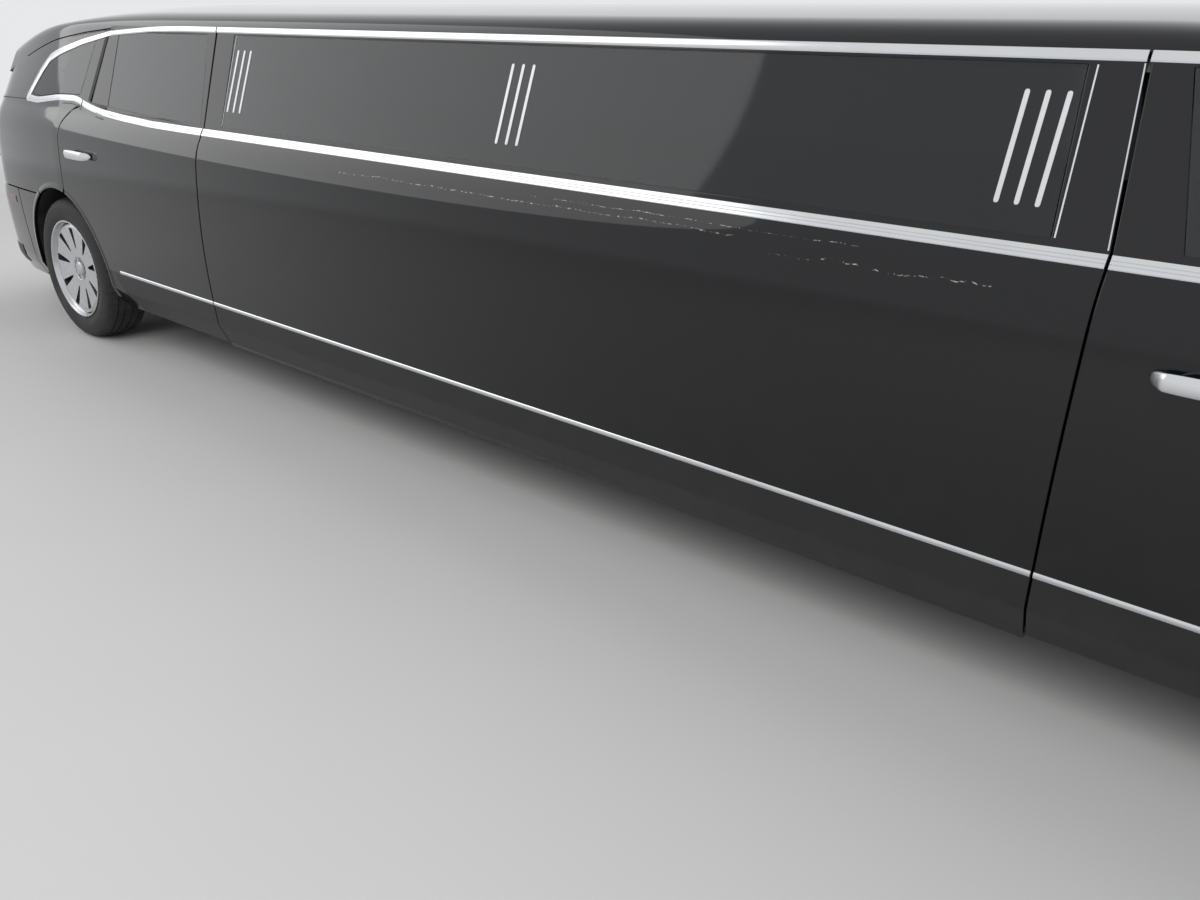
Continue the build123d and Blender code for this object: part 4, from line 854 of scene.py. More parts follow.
belt_profile = [
    (-1, -0.002), (-1, 0.0016), (-0.90, 0.0034), (-0.42, 0.0040), (-0.36, 0.0030), (-0.30, 0.0040),
    (0.10, 0.0042), (0.16, 0.0032), (0.22, 0.0042), (0.90, 0.0034), (1, 0.0016), (1, -0.002),
]
round_profile = [
    (-1, -0.002), (-1, 0.0012), (-0.8, 0.0030), (-0.4, 0.0042), (0, 0.0046), (0.4, 0.0042), (0.8, 0.0030),
    (1, 0.0012), (1, -0.002),
]
lip_profile = [
    (-1, -0.012), (-1, 0.0005), (-0.6, 0.0012), (0.3, 0.0045), (0.8, 0.0050), (1, 0.0035), (1, -0.012),
]
stripe_profile = [(-1, -0.0004), (-1, 0.0005), (0, 0.0007), (1, 0.0005), (1, -0.0004)]
skin_lift = 0.0012
skin_low = 0.440
lip_clear, lip_width = 0.014, 0.028
pane_thick, lens_lift = 0.005, 0.0055
cladding_z = np.array([0.252, 0.275, 0.300, 0.325, 0.340, 0.347, 0.356, 0.375, 0.400, 0.425, 0.438])
side_looks = ("paint", "gloss_black", "chrome", "cladding")
both_sides = ((1, "left"), (-1, "right"))


def level(low_x, high_x, height, count):
    """A level line in side view, or one whose height is a function of its place."""
    x = np.linspace(low_x, high_x, count)
    z = height(x) if callable(height) else np.full(count, height)
    return np.stack([x, z], -1)


def upright(x, low_z, high_z, count):
    """An upright line in side view, or one that leans as a function of its height."""
    z = np.linspace(low_z, high_z, count)
    return np.stack([x(z) if callable(x) else np.full(count, x), z], -1)


def under_strip(x):
    """Height at which the paint ends, behind the belt strip."""
    return belt_low(x) + 0.006


def strip_middle(x):
    """Height of the belt strip's middle."""
    return belt_low(x) + 0.0145


def shrunk(corners, by=0.0018):
    """A closed broken line drawn in."""
    corners = np.array(corners, float)
    return corners - loop_normals(corners, np.ones(len(corners))) * by


def side_pane(corners, columns=24, rows=8):
    """A pane of glass given by its corners: bottom left, top left, one or two top right ones, bottom
    right. Its edges stand back a little."""
    points = shrunk(corners)
    patch = coons(along_line([points[0], points[-1]], columns), along_line(points[1:3], columns),
                  along_line(points[:2], rows), along_line(points[:1:-1], rows))
    return slab(shell, patch, 0.0, pane_thick)


def window_frame(glass, outer, count=26, hems="bt", lift=skin_lift):
    """The black frame between a window's corners and its own outer corners, one for one."""
    grid = between(dense_loop(glass, count), dense_loop(outer, count), 4)
    return panel(shell, grid, hems, lift, True, 0.004, 1)


front_glass = [
    (front_seam + 0.131, glass_low + 0.010), (front_seam + 0.046, glass_high - 0.006),
    (front_seam + 0.382, glass_high - 0.006), (front_seam + 0.458, glass_high - 0.038),
    (hinge_seam - 0.124, glass_low + 0.010),
]
stretch_glass = [
    (rear_seam + 0.128, glass_low + 0.010), (rear_seam + 0.100, glass_high - 0.006),
    (front_seam - 0.154, glass_high - 0.006), (front_seam - 0.126, glass_low + 0.010),
]
rear_glass = [
    (rear_axle + 0.553, glass_low + 0.014), (rear_axle + 0.539, glass_high - 0.008),
    (rear_seam - 0.104, glass_high - 0.006), (rear_seam - 0.034, glass_low + 0.010),
]
quarter_glass = [
    (rear_axle + 0.250, 1.262), (rear_axle + 0.322, 1.514), (rear_axle + 0.184, 1.490),
    (rear_axle - 0.020, 1.440), (rear_axle - 0.128, 1.412), (rear_axle - 0.212, 1.345),
    (rear_axle - 0.300, 1.240), (rear_axle - 0.200, 1.232), (rear_axle + 0.013, 1.254),
]
top_curve = np.array([
    # chrome strip's middle, distance ahead of the rear axle, from the quarter glass's tip to the doors
    [-0.350, 1.222], [-0.300, 1.285], [-0.232, 1.356], [-0.150, 1.420], [-0.040, 1.452], [0.184, 1.500],
    [0.349, 1.526], [0.476, 1.545], [0.842, 1.566], [1.10, 1.5705],
])
# Height of the top strip's middle, and where its ends are read off the leaning shut lines
strip_mid, strip_lean_z = 1.5705, 1.57
# Heights of the window frames' lower corners and upper edges
frame_low, frame_high = 1.181, 1.5775


def top_path(low_x, high_x, step=0.03):
    """The top strip's middle line between two places, level ahead of the rear door's glass."""
    x = np.linspace(low_x, high_x, max(int((high_x - low_x) / step), 6))
    z = np.where(x > rear_axle + 1.10, strip_mid, eased(x - rear_axle, top_curve[3:], 0.04))
    return np.stack([x, z], -1)


def bright_strip(path, width=0.017, profile=round_profile):
    """A chrome strip along a path on the body's side."""
    return strip(shell, path, width, profile, skin_lift, 2)


def side_strips(mesh, belt_from, belt_to, top):
    """The belt strip between two places, and the top strip along its own path."""
    mesh.take(bright_strip(level(belt_from, belt_to, strip_middle, 60), 0.029, belt_profile))
    mesh.take(bright_strip(top, 0.023))


def sill_strip(low_x, high_x, count):
    """The strip along the sill."""
    return bright_strip(level(low_x, high_x, sill_z - 0.001, count))


def cladding(patch, lift=skin_lift, mark=3):
    """The satin band under the sill strip."""
    return panel(shell, patch, lift=lift + 0.0006, mark=mark)


def straight_cladding(low_x, high_x):
    """The same between two upright ends."""
    return cladding(grid_of(np.linspace(low_x, high_x, max(int((high_x - low_x) / 0.06), 8)), cladding_z))


def handle(mesh, x, z):
    """A pull handle: a bar with turned-down ends over a shallow dark cup."""
    t = np.linspace(0, 1, 40)
    swell = np.sin(t * math.pi)
    out = 0.006 + 0.030 * np.minimum(1, swell * 2.4)
    along = x + (t - 0.5) * 0.235
    turn = full_turn(20)
    ends = np.sqrt(np.maximum(1 - (2 * t - 1) ** 8, 0.02))
    thick, tall = (0.0085 + 0.002 * swell) * ends, (0.0200 + 0.002 * swell) * ends
    grid = np.stack([
        np.repeat(along[:, None], 20, 1),
        shell(along, np.full(40, z))[:, None, 1] + out[:, None] + thick[:, None] * np.cos(turn),
        z + tall[:, None] * np.sin(turn),
    ], -1)
    mesh.take(tube(grid, True, 2))
    ring = full_turn(40)
    radii = np.array([1.0, 0.96, 0.86, 0.55, 0.08])[:, None]
    rise = np.array([0.0006, 0.0012, 0.0012, 0.0012, 0.0012])[:, None] + 0 * ring
    cup_x, cup_z = x + 0.068 * radii * np.cos(ring), z + 0.030 * radii * np.sin(ring)
    points = lifted(shell, cup_x.ravel(), cup_z.ravel(), skin_lift + rise.ravel())
    mesh.add(points, grid_quads(5, 40, True), 1)


def door_front(side, label):
    """Front door: lower skin, frame round the glass, strips, cladding, handle."""
    body = f"front_door_{label}"
    low_x, high_x = front_seam + half_gap, hinge_seam - half_gap
    foot, end_z = hinge_seam - 0.061, 1.146
    top = np.concatenate([along_line(level(low_x, foot, under_strip, 40), 44)[:-1],
                          along_line([(foot, under_strip(foot)), (high_x, end_z)], 7)])
    mesh = panel(shell, coons(
        level(low_x, high_x, skin_low, len(top)), top,
        upright(low_x, skin_low, under_strip(low_x), 34), upright(high_x, skin_low, end_z, 34),
    ), lift=skin_lift)
    mesh.take(window_frame(front_glass, [
        (low_x, frame_low), (lean_x(front_seam, 1.577) + 0.005, frame_high), (front_seam + 0.347, frame_high),
        (front_seam + 0.429, 1.560), (foot, 1.187),
    ]))
    bend = [(lean_x(low_x, strip_lean_z), strip_mid), (front_seam + 0.338, strip_mid - 0.003),
            (front_seam + 0.418, 1.548), (foot - 0.030, 1.206)]
    bend = np.concatenate([bend[:1], rounded(bend, 0.05, 7)[7:-7], bend[-1:]])
    side_strips(mesh, low_x + 0.001, foot - 0.018, along_line(bend, 60))
    mesh.take(sill_strip(low_x, high_x - 0.006, 40))
    mesh.take(straight_cladding(low_x, high_x))
    handle(mesh, front_seam + 0.252, 0.968)
    lay(mesh, f"front_door_skin_{label}", side_looks, body, side)
    lay(side_pane(front_glass), f"front_door_pane_{label}", ("glass",), body, side,
        (f"front_door_glass_{label}",))


def arch(axle, turn, clear=0.0):
    """Points of the circle of a wheel arch, moved out by clear, at bearings from straight ahead."""
    reach = arch_radius + clear
    return np.stack([axle + reach * np.cos(turn), hub_z + reach * np.sin(turn)], -1)


def arch_angle(z):
    """The bearing at which a wheel arch passes height z ahead of its axle."""
    return math.asin((z - hub_z) / arch_radius)


def arch_lip(axle, start, end, count):
    """The rolled edge round a wheel arch, carried along its circle between two bearings."""
    return strip(shell, arch(axle, np.linspace(start, end, count), lip_clear), lip_width, lip_profile, 0.0)


def arch_liner(axle, start, end, mark):
    """A dark band that lines a wheel arch: a flat section carried along a circle just outside the arch."""
    turn = np.linspace(start, end, 40)
    section = []
    for clear, depth in ((0.003, 0.008), (0.003, 0.17), (0.009, 0.17), (0.009, 0.008)):
        x, z = arch(axle, turn, clear).T
        section.append(np.stack([x, half_width(x, z) - depth, z], -1))
    return tube(np.stack(section, 1), True, mark)


def door_rear(side, label):
    """Rear door: its rear edge follows the wheel arch and then the shut line up to the belt."""
    body = f"rear_door_{label}"
    high_x = rear_seam - half_gap
    ahead = 0.111
    shut, meet, meet_z = rear_axle + ahead, rear_axle + 0.300, 1.2115
    arch_top = hub_z + math.sqrt(arch_radius**2 - ahead**2)
    curved = arch(rear_axle, np.linspace(arch_angle(skin_low), arch_angle(arch_top), 24))
    above = bent([(shut, arch_top), (shut, 1.113), (rear_axle + 0.193, 1.187), (meet, meet_z)], 0.05)
    left = np.concatenate([curved, along_line(above, 23)[1:]])
    top = level(meet, high_x, under_strip, 44)
    top[0, 1] = meet_z
    mesh = panel(shell, coons(
        level(curved[0, 0], high_x, skin_low, 44), top, left, upright(high_x, skin_low, top[-1, 1], len(left)),
    ), lift=skin_lift)
    mesh.take(window_frame(rear_glass, [
        (rear_axle + 0.386, 1.228), (rear_axle + 0.451, 1.5600), (lean_x(rear_seam, 1.577) - 0.005, frame_high),
        (high_x, frame_low),
    ]))
    high_end = high_x - 0.001
    side_strips(mesh, meet, high_end, top_path(rear_axle + 0.452, lean_x(high_end, strip_lean_z)))
    mesh.take(sill_strip(rear_axle + 0.560, high_x, 30))
    mesh.take(arch_lip(rear_axle, arch_angle(0.30), math.acos(0.118 / arch_radius), 24))
    foot = rear_axle + np.interp(cladding_z, [0.25, 0.32, 0.44], [0.640, 0.570, 0.470])
    mesh.take(cladding(rows_between(foot, high_x, cladding_z, 18)))
    handle(mesh, rear_axle + 0.345, 0.990)
    lay(mesh, f"rear_door_skin_{label}", side_looks, body, side)
    lay(side_pane(rear_glass), f"rear_door_pane_{label}", ("glass",), body, side,
        (f"rear_door_glass_{label}",))


def leaning_line(x_high, z_high=1.552):
    """A line up the long glass that leans back as it rises to its top at x_high."""
    return upright(lambda z: x_high + (z_high - z) * 0.045, 1.203, 1.551, 14)


def glass_stripes(stripes):
    """Three groups of three silver stripes with tapered ends, and two thin dividing lines."""
    z = np.concatenate([[1.2600, 1.2608, 1.263], np.linspace(1.266, 1.491, 10), [1.494, 1.4962, 1.497]])
    width = stripes.stripe_width * np.array([0.3, 0.62, 0.9] + [1] * 10 + [0.9, 0.62, 0.3])
    mesh = Mesh()
    for centre in (-1.530, 0.033, 1.612):
        for step in (-1, 0, 1):
            path = np.stack([np.full(len(z), centre + step * stripes.stripe_spacing), z], -1)
            mesh.take(strip(shell, path, width, stripe_profile, skin_lift - 0.0006))
    mesh.take(strip(shell, leaning_line(1.696), 0.0035, stripe_profile, skin_lift - 0.0004))
    return mesh.take(strip(shell, leaning_line(-1.611), 0.002, stripe_profile, skin_lift - 0.0006))


def stretch_sides(stripes):
    """The two long sides of the added section with their glass and its silver stripes."""
    low_x, high_x = rear_seam + half_gap, front_seam - half_gap
    low_end, high_end = low_x + 0.001, high_x - 0.001
    frame_top = 1.58
    for side, label in both_sides:
        mesh = panel(shell, coons(
            level(low_x, high_x, skin_low, 90), level(low_x, high_x, under_strip, 90),
            *(upright(x, skin_low, under_strip(x), 34) for x in (low_x, high_x)),
        ), lift=skin_lift)
        mesh.take(window_frame(stretch_glass, [
            (low_x, frame_low), (lean_x(rear_seam, frame_top) + 0.005, frame_top),
            (lean_x(front_seam, frame_top) - 0.005, frame_top), (high_x, frame_low),
        ], 60))
        side_strips(mesh, low_end, high_end,
                    top_path(lean_x(low_end, strip_lean_z), lean_x(high_end, strip_lean_z)))
        mesh.take(sill_strip(low_end, high_end, 60))
        mesh.take(straight_cladding(low_x, high_x))
        edge = upright(lambda z: lean_x(high_x - 0.004, z), 1.192, 1.556, 12)
        mesh.take(strip(shell, edge, 0.003, stripe_profile, skin_lift, 2))
        lay(mesh, f"long_side_skin_{label}", side_looks, "body", side)
        lay(side_pane(stretch_glass, 70), f"long_side_pane_{label}", ("glass",), "body", side)
        lay(glass_stripes(stripes), f"glass_stripes_{label}", ("stripe",), "body", side)


# The tailgate's half widths at its foot, at the shelf and at its top
gate_low, gate_belt, gate_top = 0.600, 0.650, 0.560
gate_low_z = 0.748
gate_high = float(rear_edge_z(gate_top))


def distance_out(surface, y, z):
    """The distance from an end's middle line at which its surface stands y out to the side."""
    y, z = np.broadcast_arrays(np.asarray(y, float), np.asarray(z, float))
    return halved(np.zeros_like(y), np.full_like(y, 1.4), lambda u: surface(u, z)[..., 1] > y)


def gate_half(z):
    """The tailgate's half width at height z."""
    return np.interp(z, [gate_low_z, shelf_z, gate_high], [gate_low, gate_belt, gate_top])


def gate_edge(clear, z):
    """Distance along the body at which the tailgate's side edge stands, moved out by clear."""
    return tail_end + distance_out(tail_shell, gate_half(z) + clear, z)


def around_tail(x, y, z):
    """Points at x and y in plan by their distance along the body: x itself, and behind tail_turn the arc
    of turn_radius that their bearing from there spans."""
    a = np.where(x < tail_turn, tail_turn + turn_radius * np.arctan2(x - tail_turn, y), x)
    return np.stack([a, z], -1)


quarter_tip = (rear_axle - 0.372, 1.214)
quarter_low, arch_low = 0.745, 0.262


def quarter_skin():
    """The quarter's skin: round the arch and up to the belt, then from the glass out to the tailgate and
    the roof."""
    ahead = 0.105
    shut, top_x = rear_axle + ahead, rear_axle + 0.288
    edge_z = np.linspace(quarter_low, quarter_tip[1], 30)
    left = np.stack([gate_edge(0.006, edge_z), edge_z], -1)
    turn = np.linspace(math.pi - arch_angle(quarter_low), math.acos(ahead / arch_radius), 22)
    over = arch(rear_axle, turn)
    bottom = np.concatenate([along_line([left[0], over[0]], 32)[:-1], over])
    arch_top = hub_z + math.sqrt(arch_radius**2 - ahead**2)
    right = along_line(
        bent([(shut, arch_top), (shut, 1.116), (rear_axle + 0.187, 1.193), (top_x, 1.219)], 0.05), 30)
    rim = level(top_x, quarter_tip[0] + 0.02, under_strip, 40)[::-1]
    rim[-1] = right[-1]
    top = along_line(np.concatenate([[left[-1]], [quarter_tip], rim]), len(bottom))
    mesh = panel(shell, coons(bottom, top, left, right), "blr")
    drop = 0.0045
    inner = along_line(np.concatenate([[quarter_tip], top_curve[1:8] + (rear_axle, 0)]), 60)
    up_z = np.linspace(quarter_tip[1], gate_high - drop, 22)
    rise = np.stack([gate_edge(0.006, up_z), up_z], -1)
    corner_x, corner_y, corner_z = rear_edge[rear_edge[:, 1] > gate_top + 0.02].T
    roof_x = np.linspace(rear_edge[-1, 0] + 0.01, inner[-1, 0] + 0.004, 39)
    roof_side = roof_edge_z(roof_x)
    outer = along_line(np.concatenate([
        rise, around_tail(corner_x, corner_y, corner_z - drop),
        around_tail(roof_x, half_width(roof_x, roof_side), roof_side - drop),
    ]), 60)
    return mesh.take(panel(shell, between(inner, outer, 14), "t"))


def quarter_surround():
    """The quarter glass's chrome: along its foot, round its tip and over its top, in one smoothed loop
    that swells towards the tip."""
    lower = level(rear_axle + 0.290, rear_axle - 0.330, strip_middle, 30)
    hook = [(rear_axle - 0.352, 1.2105), (rear_axle - 0.362, 1.2180)]
    loop = along_line(np.concatenate([lower, hook, along_line(top_curve[:8] + (rear_axle, 0), 50)]), 120)
    for _ in range(3):
        loop[1:-1] = (loop[:-2] + 2 * loop[1:-1] + loop[2:]) / 4
    share = np.linspace(0, 1, 120)
    width = 0.028 + 0.010 * np.exp(-((share - 0.52) / 0.16) ** 2) - 0.007 * np.clip((share - 0.7) / 0.3, 0, 1)
    return strip(shell, loop, width, belt_profile, 0.001, 2)


def rear_quarters():
    """The quarter panels with their glass, the leg and the lining round the arch, a dark line of painted shade
    along the shoulder crease, and the tail lamps.
    """
    low_turn = arch_angle(arch_low)
    lip_end = math.acos(0.098 / arch_radius)
    back_turn = math.pi - arch_angle(quarter_low)
    leg_turn = math.pi - np.linspace(low_turn, arch_angle(0.738), 20)
    leg = arch(rear_axle, leg_turn)
    behind = np.stack([np.full(20, rear_axle - 0.517), leg[:, 1]], -1)
    frame_line = [
        (rear_axle + 0.372, 1.226), (rear_axle + 0.441, 1.546), (rear_axle + 0.184, 1.508),
        (rear_axle - 0.030, 1.462), (rear_axle - 0.146, 1.430), (rear_axle - 0.238, 1.362),
        (rear_axle - 0.352, 1.224), (rear_axle - 0.215, 1.214), (rear_axle + 0.013, 1.236),
    ]
    low_lift = skin_lift * 0.4
    for side, label in both_sides:
        mesh = quarter_skin()
        mesh.take(window_frame(quarter_glass, frame_line, 10, "b", low_lift))
        mesh.take(quarter_surround())
        mesh.take(panel(shell, between(behind, leg, 8).transpose(1, 0, 2), "lbr"))
        mesh.take(arch_lip(rear_axle, lip_end, back_turn, 30))
        mesh.take(arch_lip(rear_axle, leg_turn[-1], leg_turn[0], 20))
        mesh.take(arch_liner(rear_axle, lip_end, math.pi - low_turn, 3))
        pillar = [(rear_axle + 0.360, 1.236), (rear_axle + 0.427, 1.540)]
        mesh.take(strip(shell, along_line(pillar, 14), 0.026, stripe_profile, low_lift + 0.001, 3))
        # Painted shade: a thin dark rubber line laid along the shoulder crease behind the glass, on paint that
        # has no groove there
        crease_x = rear_axle - 0.385
        crease = level(crease_x, rear_axle - 0.80, lambda x: 1.210 - 0.02 * (crease_x - x), 20)
        mesh.take(strip(shell, crease, 0.005, stripe_profile, 0.0, 3))
        lay(mesh, f"quarter_skin_{label}", ("paint", "gloss_black", "chrome", "rubber"), "body", side,
            ("rear_quarters",))
        hub = np.array([[rear_axle + 0.03, 1.36]])
        rim = dense_loop(shrunk(quarter_glass), 10)
        pane = slab(shell, between(rim * 0.02 + hub * 0.98, rim, 8), 0.0, pane_thick, wrap=True)
        lay(pane, f"quarter_pane_{label}", ("glass",), "body", side, ("side_windows",))
        lamp_z = np.linspace(0.884, 1.086, 9)
        lens = rows_between(gate_edge(0.010, lamp_z), rear_axle - 0.80, lamp_z, 20)
        lay(panel(shell, lens, lift=lens_lift), f"tail_lamp_lens_{label}", ("lamp_red",), "body",
            side, ("tail_lamps",))


def tail_points(places):
    """Points given by their distances out to the side and their heights, in the tail's coordinates."""
    y, z = np.array(places, float).T
    return np.stack([np.sign(y) * distance_out(tail_shell, np.abs(y), z), z], -1)


def tailgate_piece():
    """The tailgate: a ring of skin between its outline and its window, the glass, a trim bar, lenses."""
    z_low, z_top, count = 0.752, gate_high - 0.014, 26
    outer = tail_points([(-gate_low, z_low), (gate_low, z_low), (gate_belt, shelf_z), (gate_top, z_top),
                         (-gate_top, z_top), (-gate_belt, shelf_z)])
    window = tail_points([(-0.53, 1.185), (0.53, 1.185), (0.556, 1.22), (0.500, 1.345), (-0.500, 1.345),
                          (-0.556, 1.22)])
    outside = dense_loop(outer, count)
    top_side = slice(3 * count, 4 * count)
    outside[top_side, 1] = rear_edge_z(tail_shell(*outside[top_side].T)[:, 1]) - 0.014
    mesh = panel(tail_shell, between(dense_loop(window, count), outside, 26), "bt", 0.0, True)
    mesh.take(strip(tail_shell, level(-0.56, 0.56, 1.105, 50), 0.030, belt_profile, 0.001, 1))
    for side in (1, -1):
        lens_z = np.linspace(0.888, 1.082, 8)
        edge = distance_out(tail_shell, gate_half(lens_z) - 0.012, lens_z)
        grid = rows_between(side * 0.36, side * edge, lens_z, 14)
        mesh.take(panel(tail_shell, grid, lift=lens_lift, mark=2))
    finish_piece("tailgate_skin", mesh, ("paint", "chrome", "lamp_red"), "tailgate", ("tailgate",))
    patch = coons(along_line(window[:2], 24), along_line(window[4:2:-1], 24),
                  along_line(window[[0, 5, 4]], 10), along_line(window[1:4], 10))
    pane = slab(tail_shell, patch, -0.0015, pane_thick)
    finish_piece("tailgate_pane", pane, ("glass",), "tailgate", ("tailgate_glass",))


def rear_bumper_piece():
    """The rear bumper: one wrap from arch to arch with a step under the tailgate and side markers."""
    reach = rear_axle - 0.523 - tail_end
    half = np.linspace(0.02, reach, 60)
    u = np.concatenate([-half[::-1], half])
    z = np.array([0.245, 0.27, 0.30, 0.34, 0.38, 0.42, 0.47, 0.53, 0.60, 0.66, 0.70, 0.725, 0.739])
    mesh = panel(bumper_shell, grid_of(u, z))
    rim = bumper_shell(u, np.full(len(u), z[-1]))
    mesh.add([rim, rim * (0.965, 0.90, 1) + (0, 0, 0.001)], grid_quads(2, len(u)))
    for side in (1, -1):
        marker_u = side * np.linspace(reach - 0.215, reach - 0.060, 10)
        mesh.take(panel(bumper_shell, grid_of(marker_u, np.linspace(0.655, 0.690, 4)), lift=0.003, mark=1))
    mesh.take(panel(bumper_shell, grid_of(u[8:-8], np.linspace(0.30, 0.40, 6)), lift=0.003, mark=2))
    finish_piece("rear_bumper_skin", mesh, ("paint", "marker", "cladding"), "body", ("rear_bumper",))


def roof_piece():
    """The roof skin from the windscreen's header to the tailgate, and the headliner under it."""
    v = np.linspace(-0.75, 0.75, 61)
    front_x = np.full(61, 2.3)
    y = half_width(front_x, roof_edge_z(front_x)) * np.sin(v / 0.75 * math.pi / 2)
    front = halved(np.full(61, 1.9), np.full(61, 2.9), lambda x: screen_x(y, roof_z(x, y)) <= x)
    share = np.concatenate([
        np.linspace(0, 0.2, 24), np.linspace(0.2, 0.9, 40)[1:], np.linspace(0.9, 1, 16)[1:],
    ])
    rear = roof_rear(v)[:, 0]
    x = rear + (front - rear) * share[:, None]
    across = np.repeat(v[None], len(share), 0)
    mesh = panel(roof_shell, np.stack([x, across], -1))
    mesh.add(roof_shell(x, across * 0.97) - (0, 0, 0.040), grid_quads(len(share), 61)[:, ::-1], 1)
    finish_piece("roof_skin", mesh, ("paint", "headliner"), "body", ("roof",))


def screen_x(y, z):
    """Where the windscreen stands: an arc in plan carried up along its rake."""
    return nose_x - 1.225 - (z - 1.15) * 0.830 / 0.490 - (2.4 - np.sqrt(np.maximum(2.4**2 - y * y, 0)))


def screen_shell(u, z):
    """The windscreen's surface at distance u from its middle and height z."""
    u, z = np.broadcast_arrays(np.asarray(u, float), np.asarray(z, float))
    return np.stack([screen_x(u, z), u, z], -1)


def windscreen_piece():
    """The windscreen with a black band round its edge, and two wipers parked along its foot."""
    low_z, high_z, edge_clear = 1.182, 1.60, 0.034
    z = np.linspace(low_z, high_z, 16)
    side = half_width(screen_x(np.full(16, 0.72), z), np.minimum(z, 1.56)) - edge_clear
    for _ in range(4):
        side = half_width(screen_x(side, z), np.minimum(z, 1.575)) - edge_clear
        side = side - 0.02 * np.clip((z - 1.5) / 0.1, 0, 1)
    share = np.linspace(-1, 1, 41)
    across = side[-1] * share
    top_z = np.full(41, high_z)
    for _ in range(12):
        top_z = (top_z + roof_z(screen_x(across, top_z), across) - 0.003) / 2
    height = low_z + (top_z - low_z)[None] * np.linspace(0, 1, 16)[:, None]
    uv = np.stack([np.interp(height, z, side) * share[None], height], -1)
    band = Mesh()
    for edge in (uv[:3], uv[-3:], uv[2:-2, :3], uv[2:-2, -3:]):
        band.take(slab(screen_shell, edge, 0.0008, 0.0006))
    blade = [(-1, 0.006), (-0.4, 0.016), (0.4, 0.016), (1, 0.006)]
    for start, end in ((-0.62, 0.02), (0.06, 0.66)):
        band.take(strip(screen_shell, along_line([(start, 1.200), (end, 1.230)], 24), 0.012, blade, 0.0))
    pane = slab(screen_shell, uv, 0.0, 0.006)
    finish_piece("windscreen_pane", pane, ("clear_glass",), "body", ("windscreen",))
    finish_piece("windscreen_band", band, ("gloss_black",), "body")


def hood_z(x, y):
    """The hood's height: an arch across between the nose's edges."""
    _, _, edge_y, edge_z, top = nose_values(x)
    return edge_z + (top - edge_z) * (1 - (y / edge_y) ** 2)


def hood_shell(x, y):
    """The hood's surface, with a long crease each side of its middle."""
    x, y = np.broadcast_arrays(np.asarray(x, float), np.asarray(y, float))
    centre = 0.30 + 0.12 * np.clip((x - 3.1) / 1.2, 0, 1)
    crease = 0.010 * np.exp(-((np.abs(y) - centre) / 0.09) ** 2)
    return np.stack([x, y, hood_z(x, y) - 0.002 + crease], -1)


hood_back, hood_front = nose_x - 1.200, nose_x - 0.125


def hood_outline(clear):
    """Corner curves of the hood in plan, moved out by clear: rear arc, front arc, from right to left."""
    y = np.linspace(-1, 1, 45)
    rear_half, front_half = 0.775 + clear, 0.690 + clear
    rear = np.stack([hood_back - clear - 0.105 * y**2, rear_half * y], -1)
    front = np.stack([hood_front + clear - 0.170 * y**2, front_half * y], -1)
    return rear, front


def hood_piece():
    """The hood between its two arcs."""
    rear, front = hood_outline(0)
    uv = coons(rear, front, along_line([rear[0], front[0]], 34), along_line([rear[-1], front[-1]], 34))
    mesh = panel(hood_shell, uv, steps=hem_steps[:-1] + [(0.001, 0.022)])
    under = hood_shell(uv[..., 0], uv[..., 1] * 0.97) - (0, 0, 0.026)
    mesh.add(under, grid_quads(34, 45)[:, ::-1], 1)
    finish_piece("hood_skin", mesh, ("paint", "steel"), "hood", ("hood",))


bumper_seam = front_axle + 0.465
lamp_low, lamp_high = 0.745, 0.905
lamp_in = float(nose_end - distance_out(nose_shell, 0.435, 0.83))
nose_top, bumper_top = 0.925, 0.600
intake_low, intake_high, grille_low = 0.330, 0.430, 0.540
shoulder_a = bumper_seam + 0.10
edge_front = (hood_front - 0.170, 0.695)
edge_drop, shoulder_bulge = 0.003, (0, 0.030, 0.022)


def fender_skin():
    """One front fender: its side round the arch, the cladding's rear end, a shoulder ruled from the top
    of the side to the hood's edge, and the arch's lip and lining."""
    low_x = hinge_seam + half_gap
    rim_a = np.linspace(low_x, shoulder_a, 40)
    rim_z = np.minimum(nose_values(rim_a)[3] - 0.006, 1.146 + 0.03 * np.clip((rim_a - low_x) / 0.1, 0, 1))
    front_edge = along_line([
        (bumper_seam, bumper_top), (bumper_seam + 0.055, lamp_low), (shoulder_a, lamp_high),
        (shoulder_a, rim_z[-1]),
    ], 26)
    lip_end = math.radians(33)
    over = arch(front_axle, np.linspace(math.pi, lip_end, 44))
    over[0] = arch(front_axle, math.pi - arch_angle(skin_low))
    bottom = along_line(np.concatenate([
        [(low_x, skin_low)], over[over[:, 1] >= skin_low - 0.0001], [(bumper_seam, bumper_top)],
    ]), 40)
    start = upright(low_x, skin_low, rim_z[0], 26)
    mesh = panel(shell, coons(bottom, np.stack([rim_a, rim_z], -1), start, front_edge), "blr")
    end_x = front_axle - np.interp(cladding_z, [0.25, 0.32, 0.44], [0.440, 0.430, 0.425])
    mesh.take(cladding(rows_between(low_x, end_x, cladding_z, 6), 0.0, 1))
    inner_x = np.linspace(low_x, edge_front[0], 40)
    inner_y = np.interp(inner_x, [hood_back - 0.105, edge_front[0]], [0.780, edge_front[1]])
    low_curve = shell(rim_a, rim_z)
    high_curve = np.stack([inner_x, inner_y, hood_z(inner_x, inner_y) - edge_drop], -1)
    ruled = arched(low_curve, (low_curve + high_curve) / 2 + shoulder_bulge, high_curve, 9)
    mesh.add(ruled, grid_quads(9, 40)[:, ::-1])
    mesh.take(arch_lip(front_axle, lip_end, math.pi - arch_angle(0.445), 44))
    dip = arch_angle(arch_low)
    return mesh.take(arch_liner(front_axle, dip, math.pi - dip, 1))


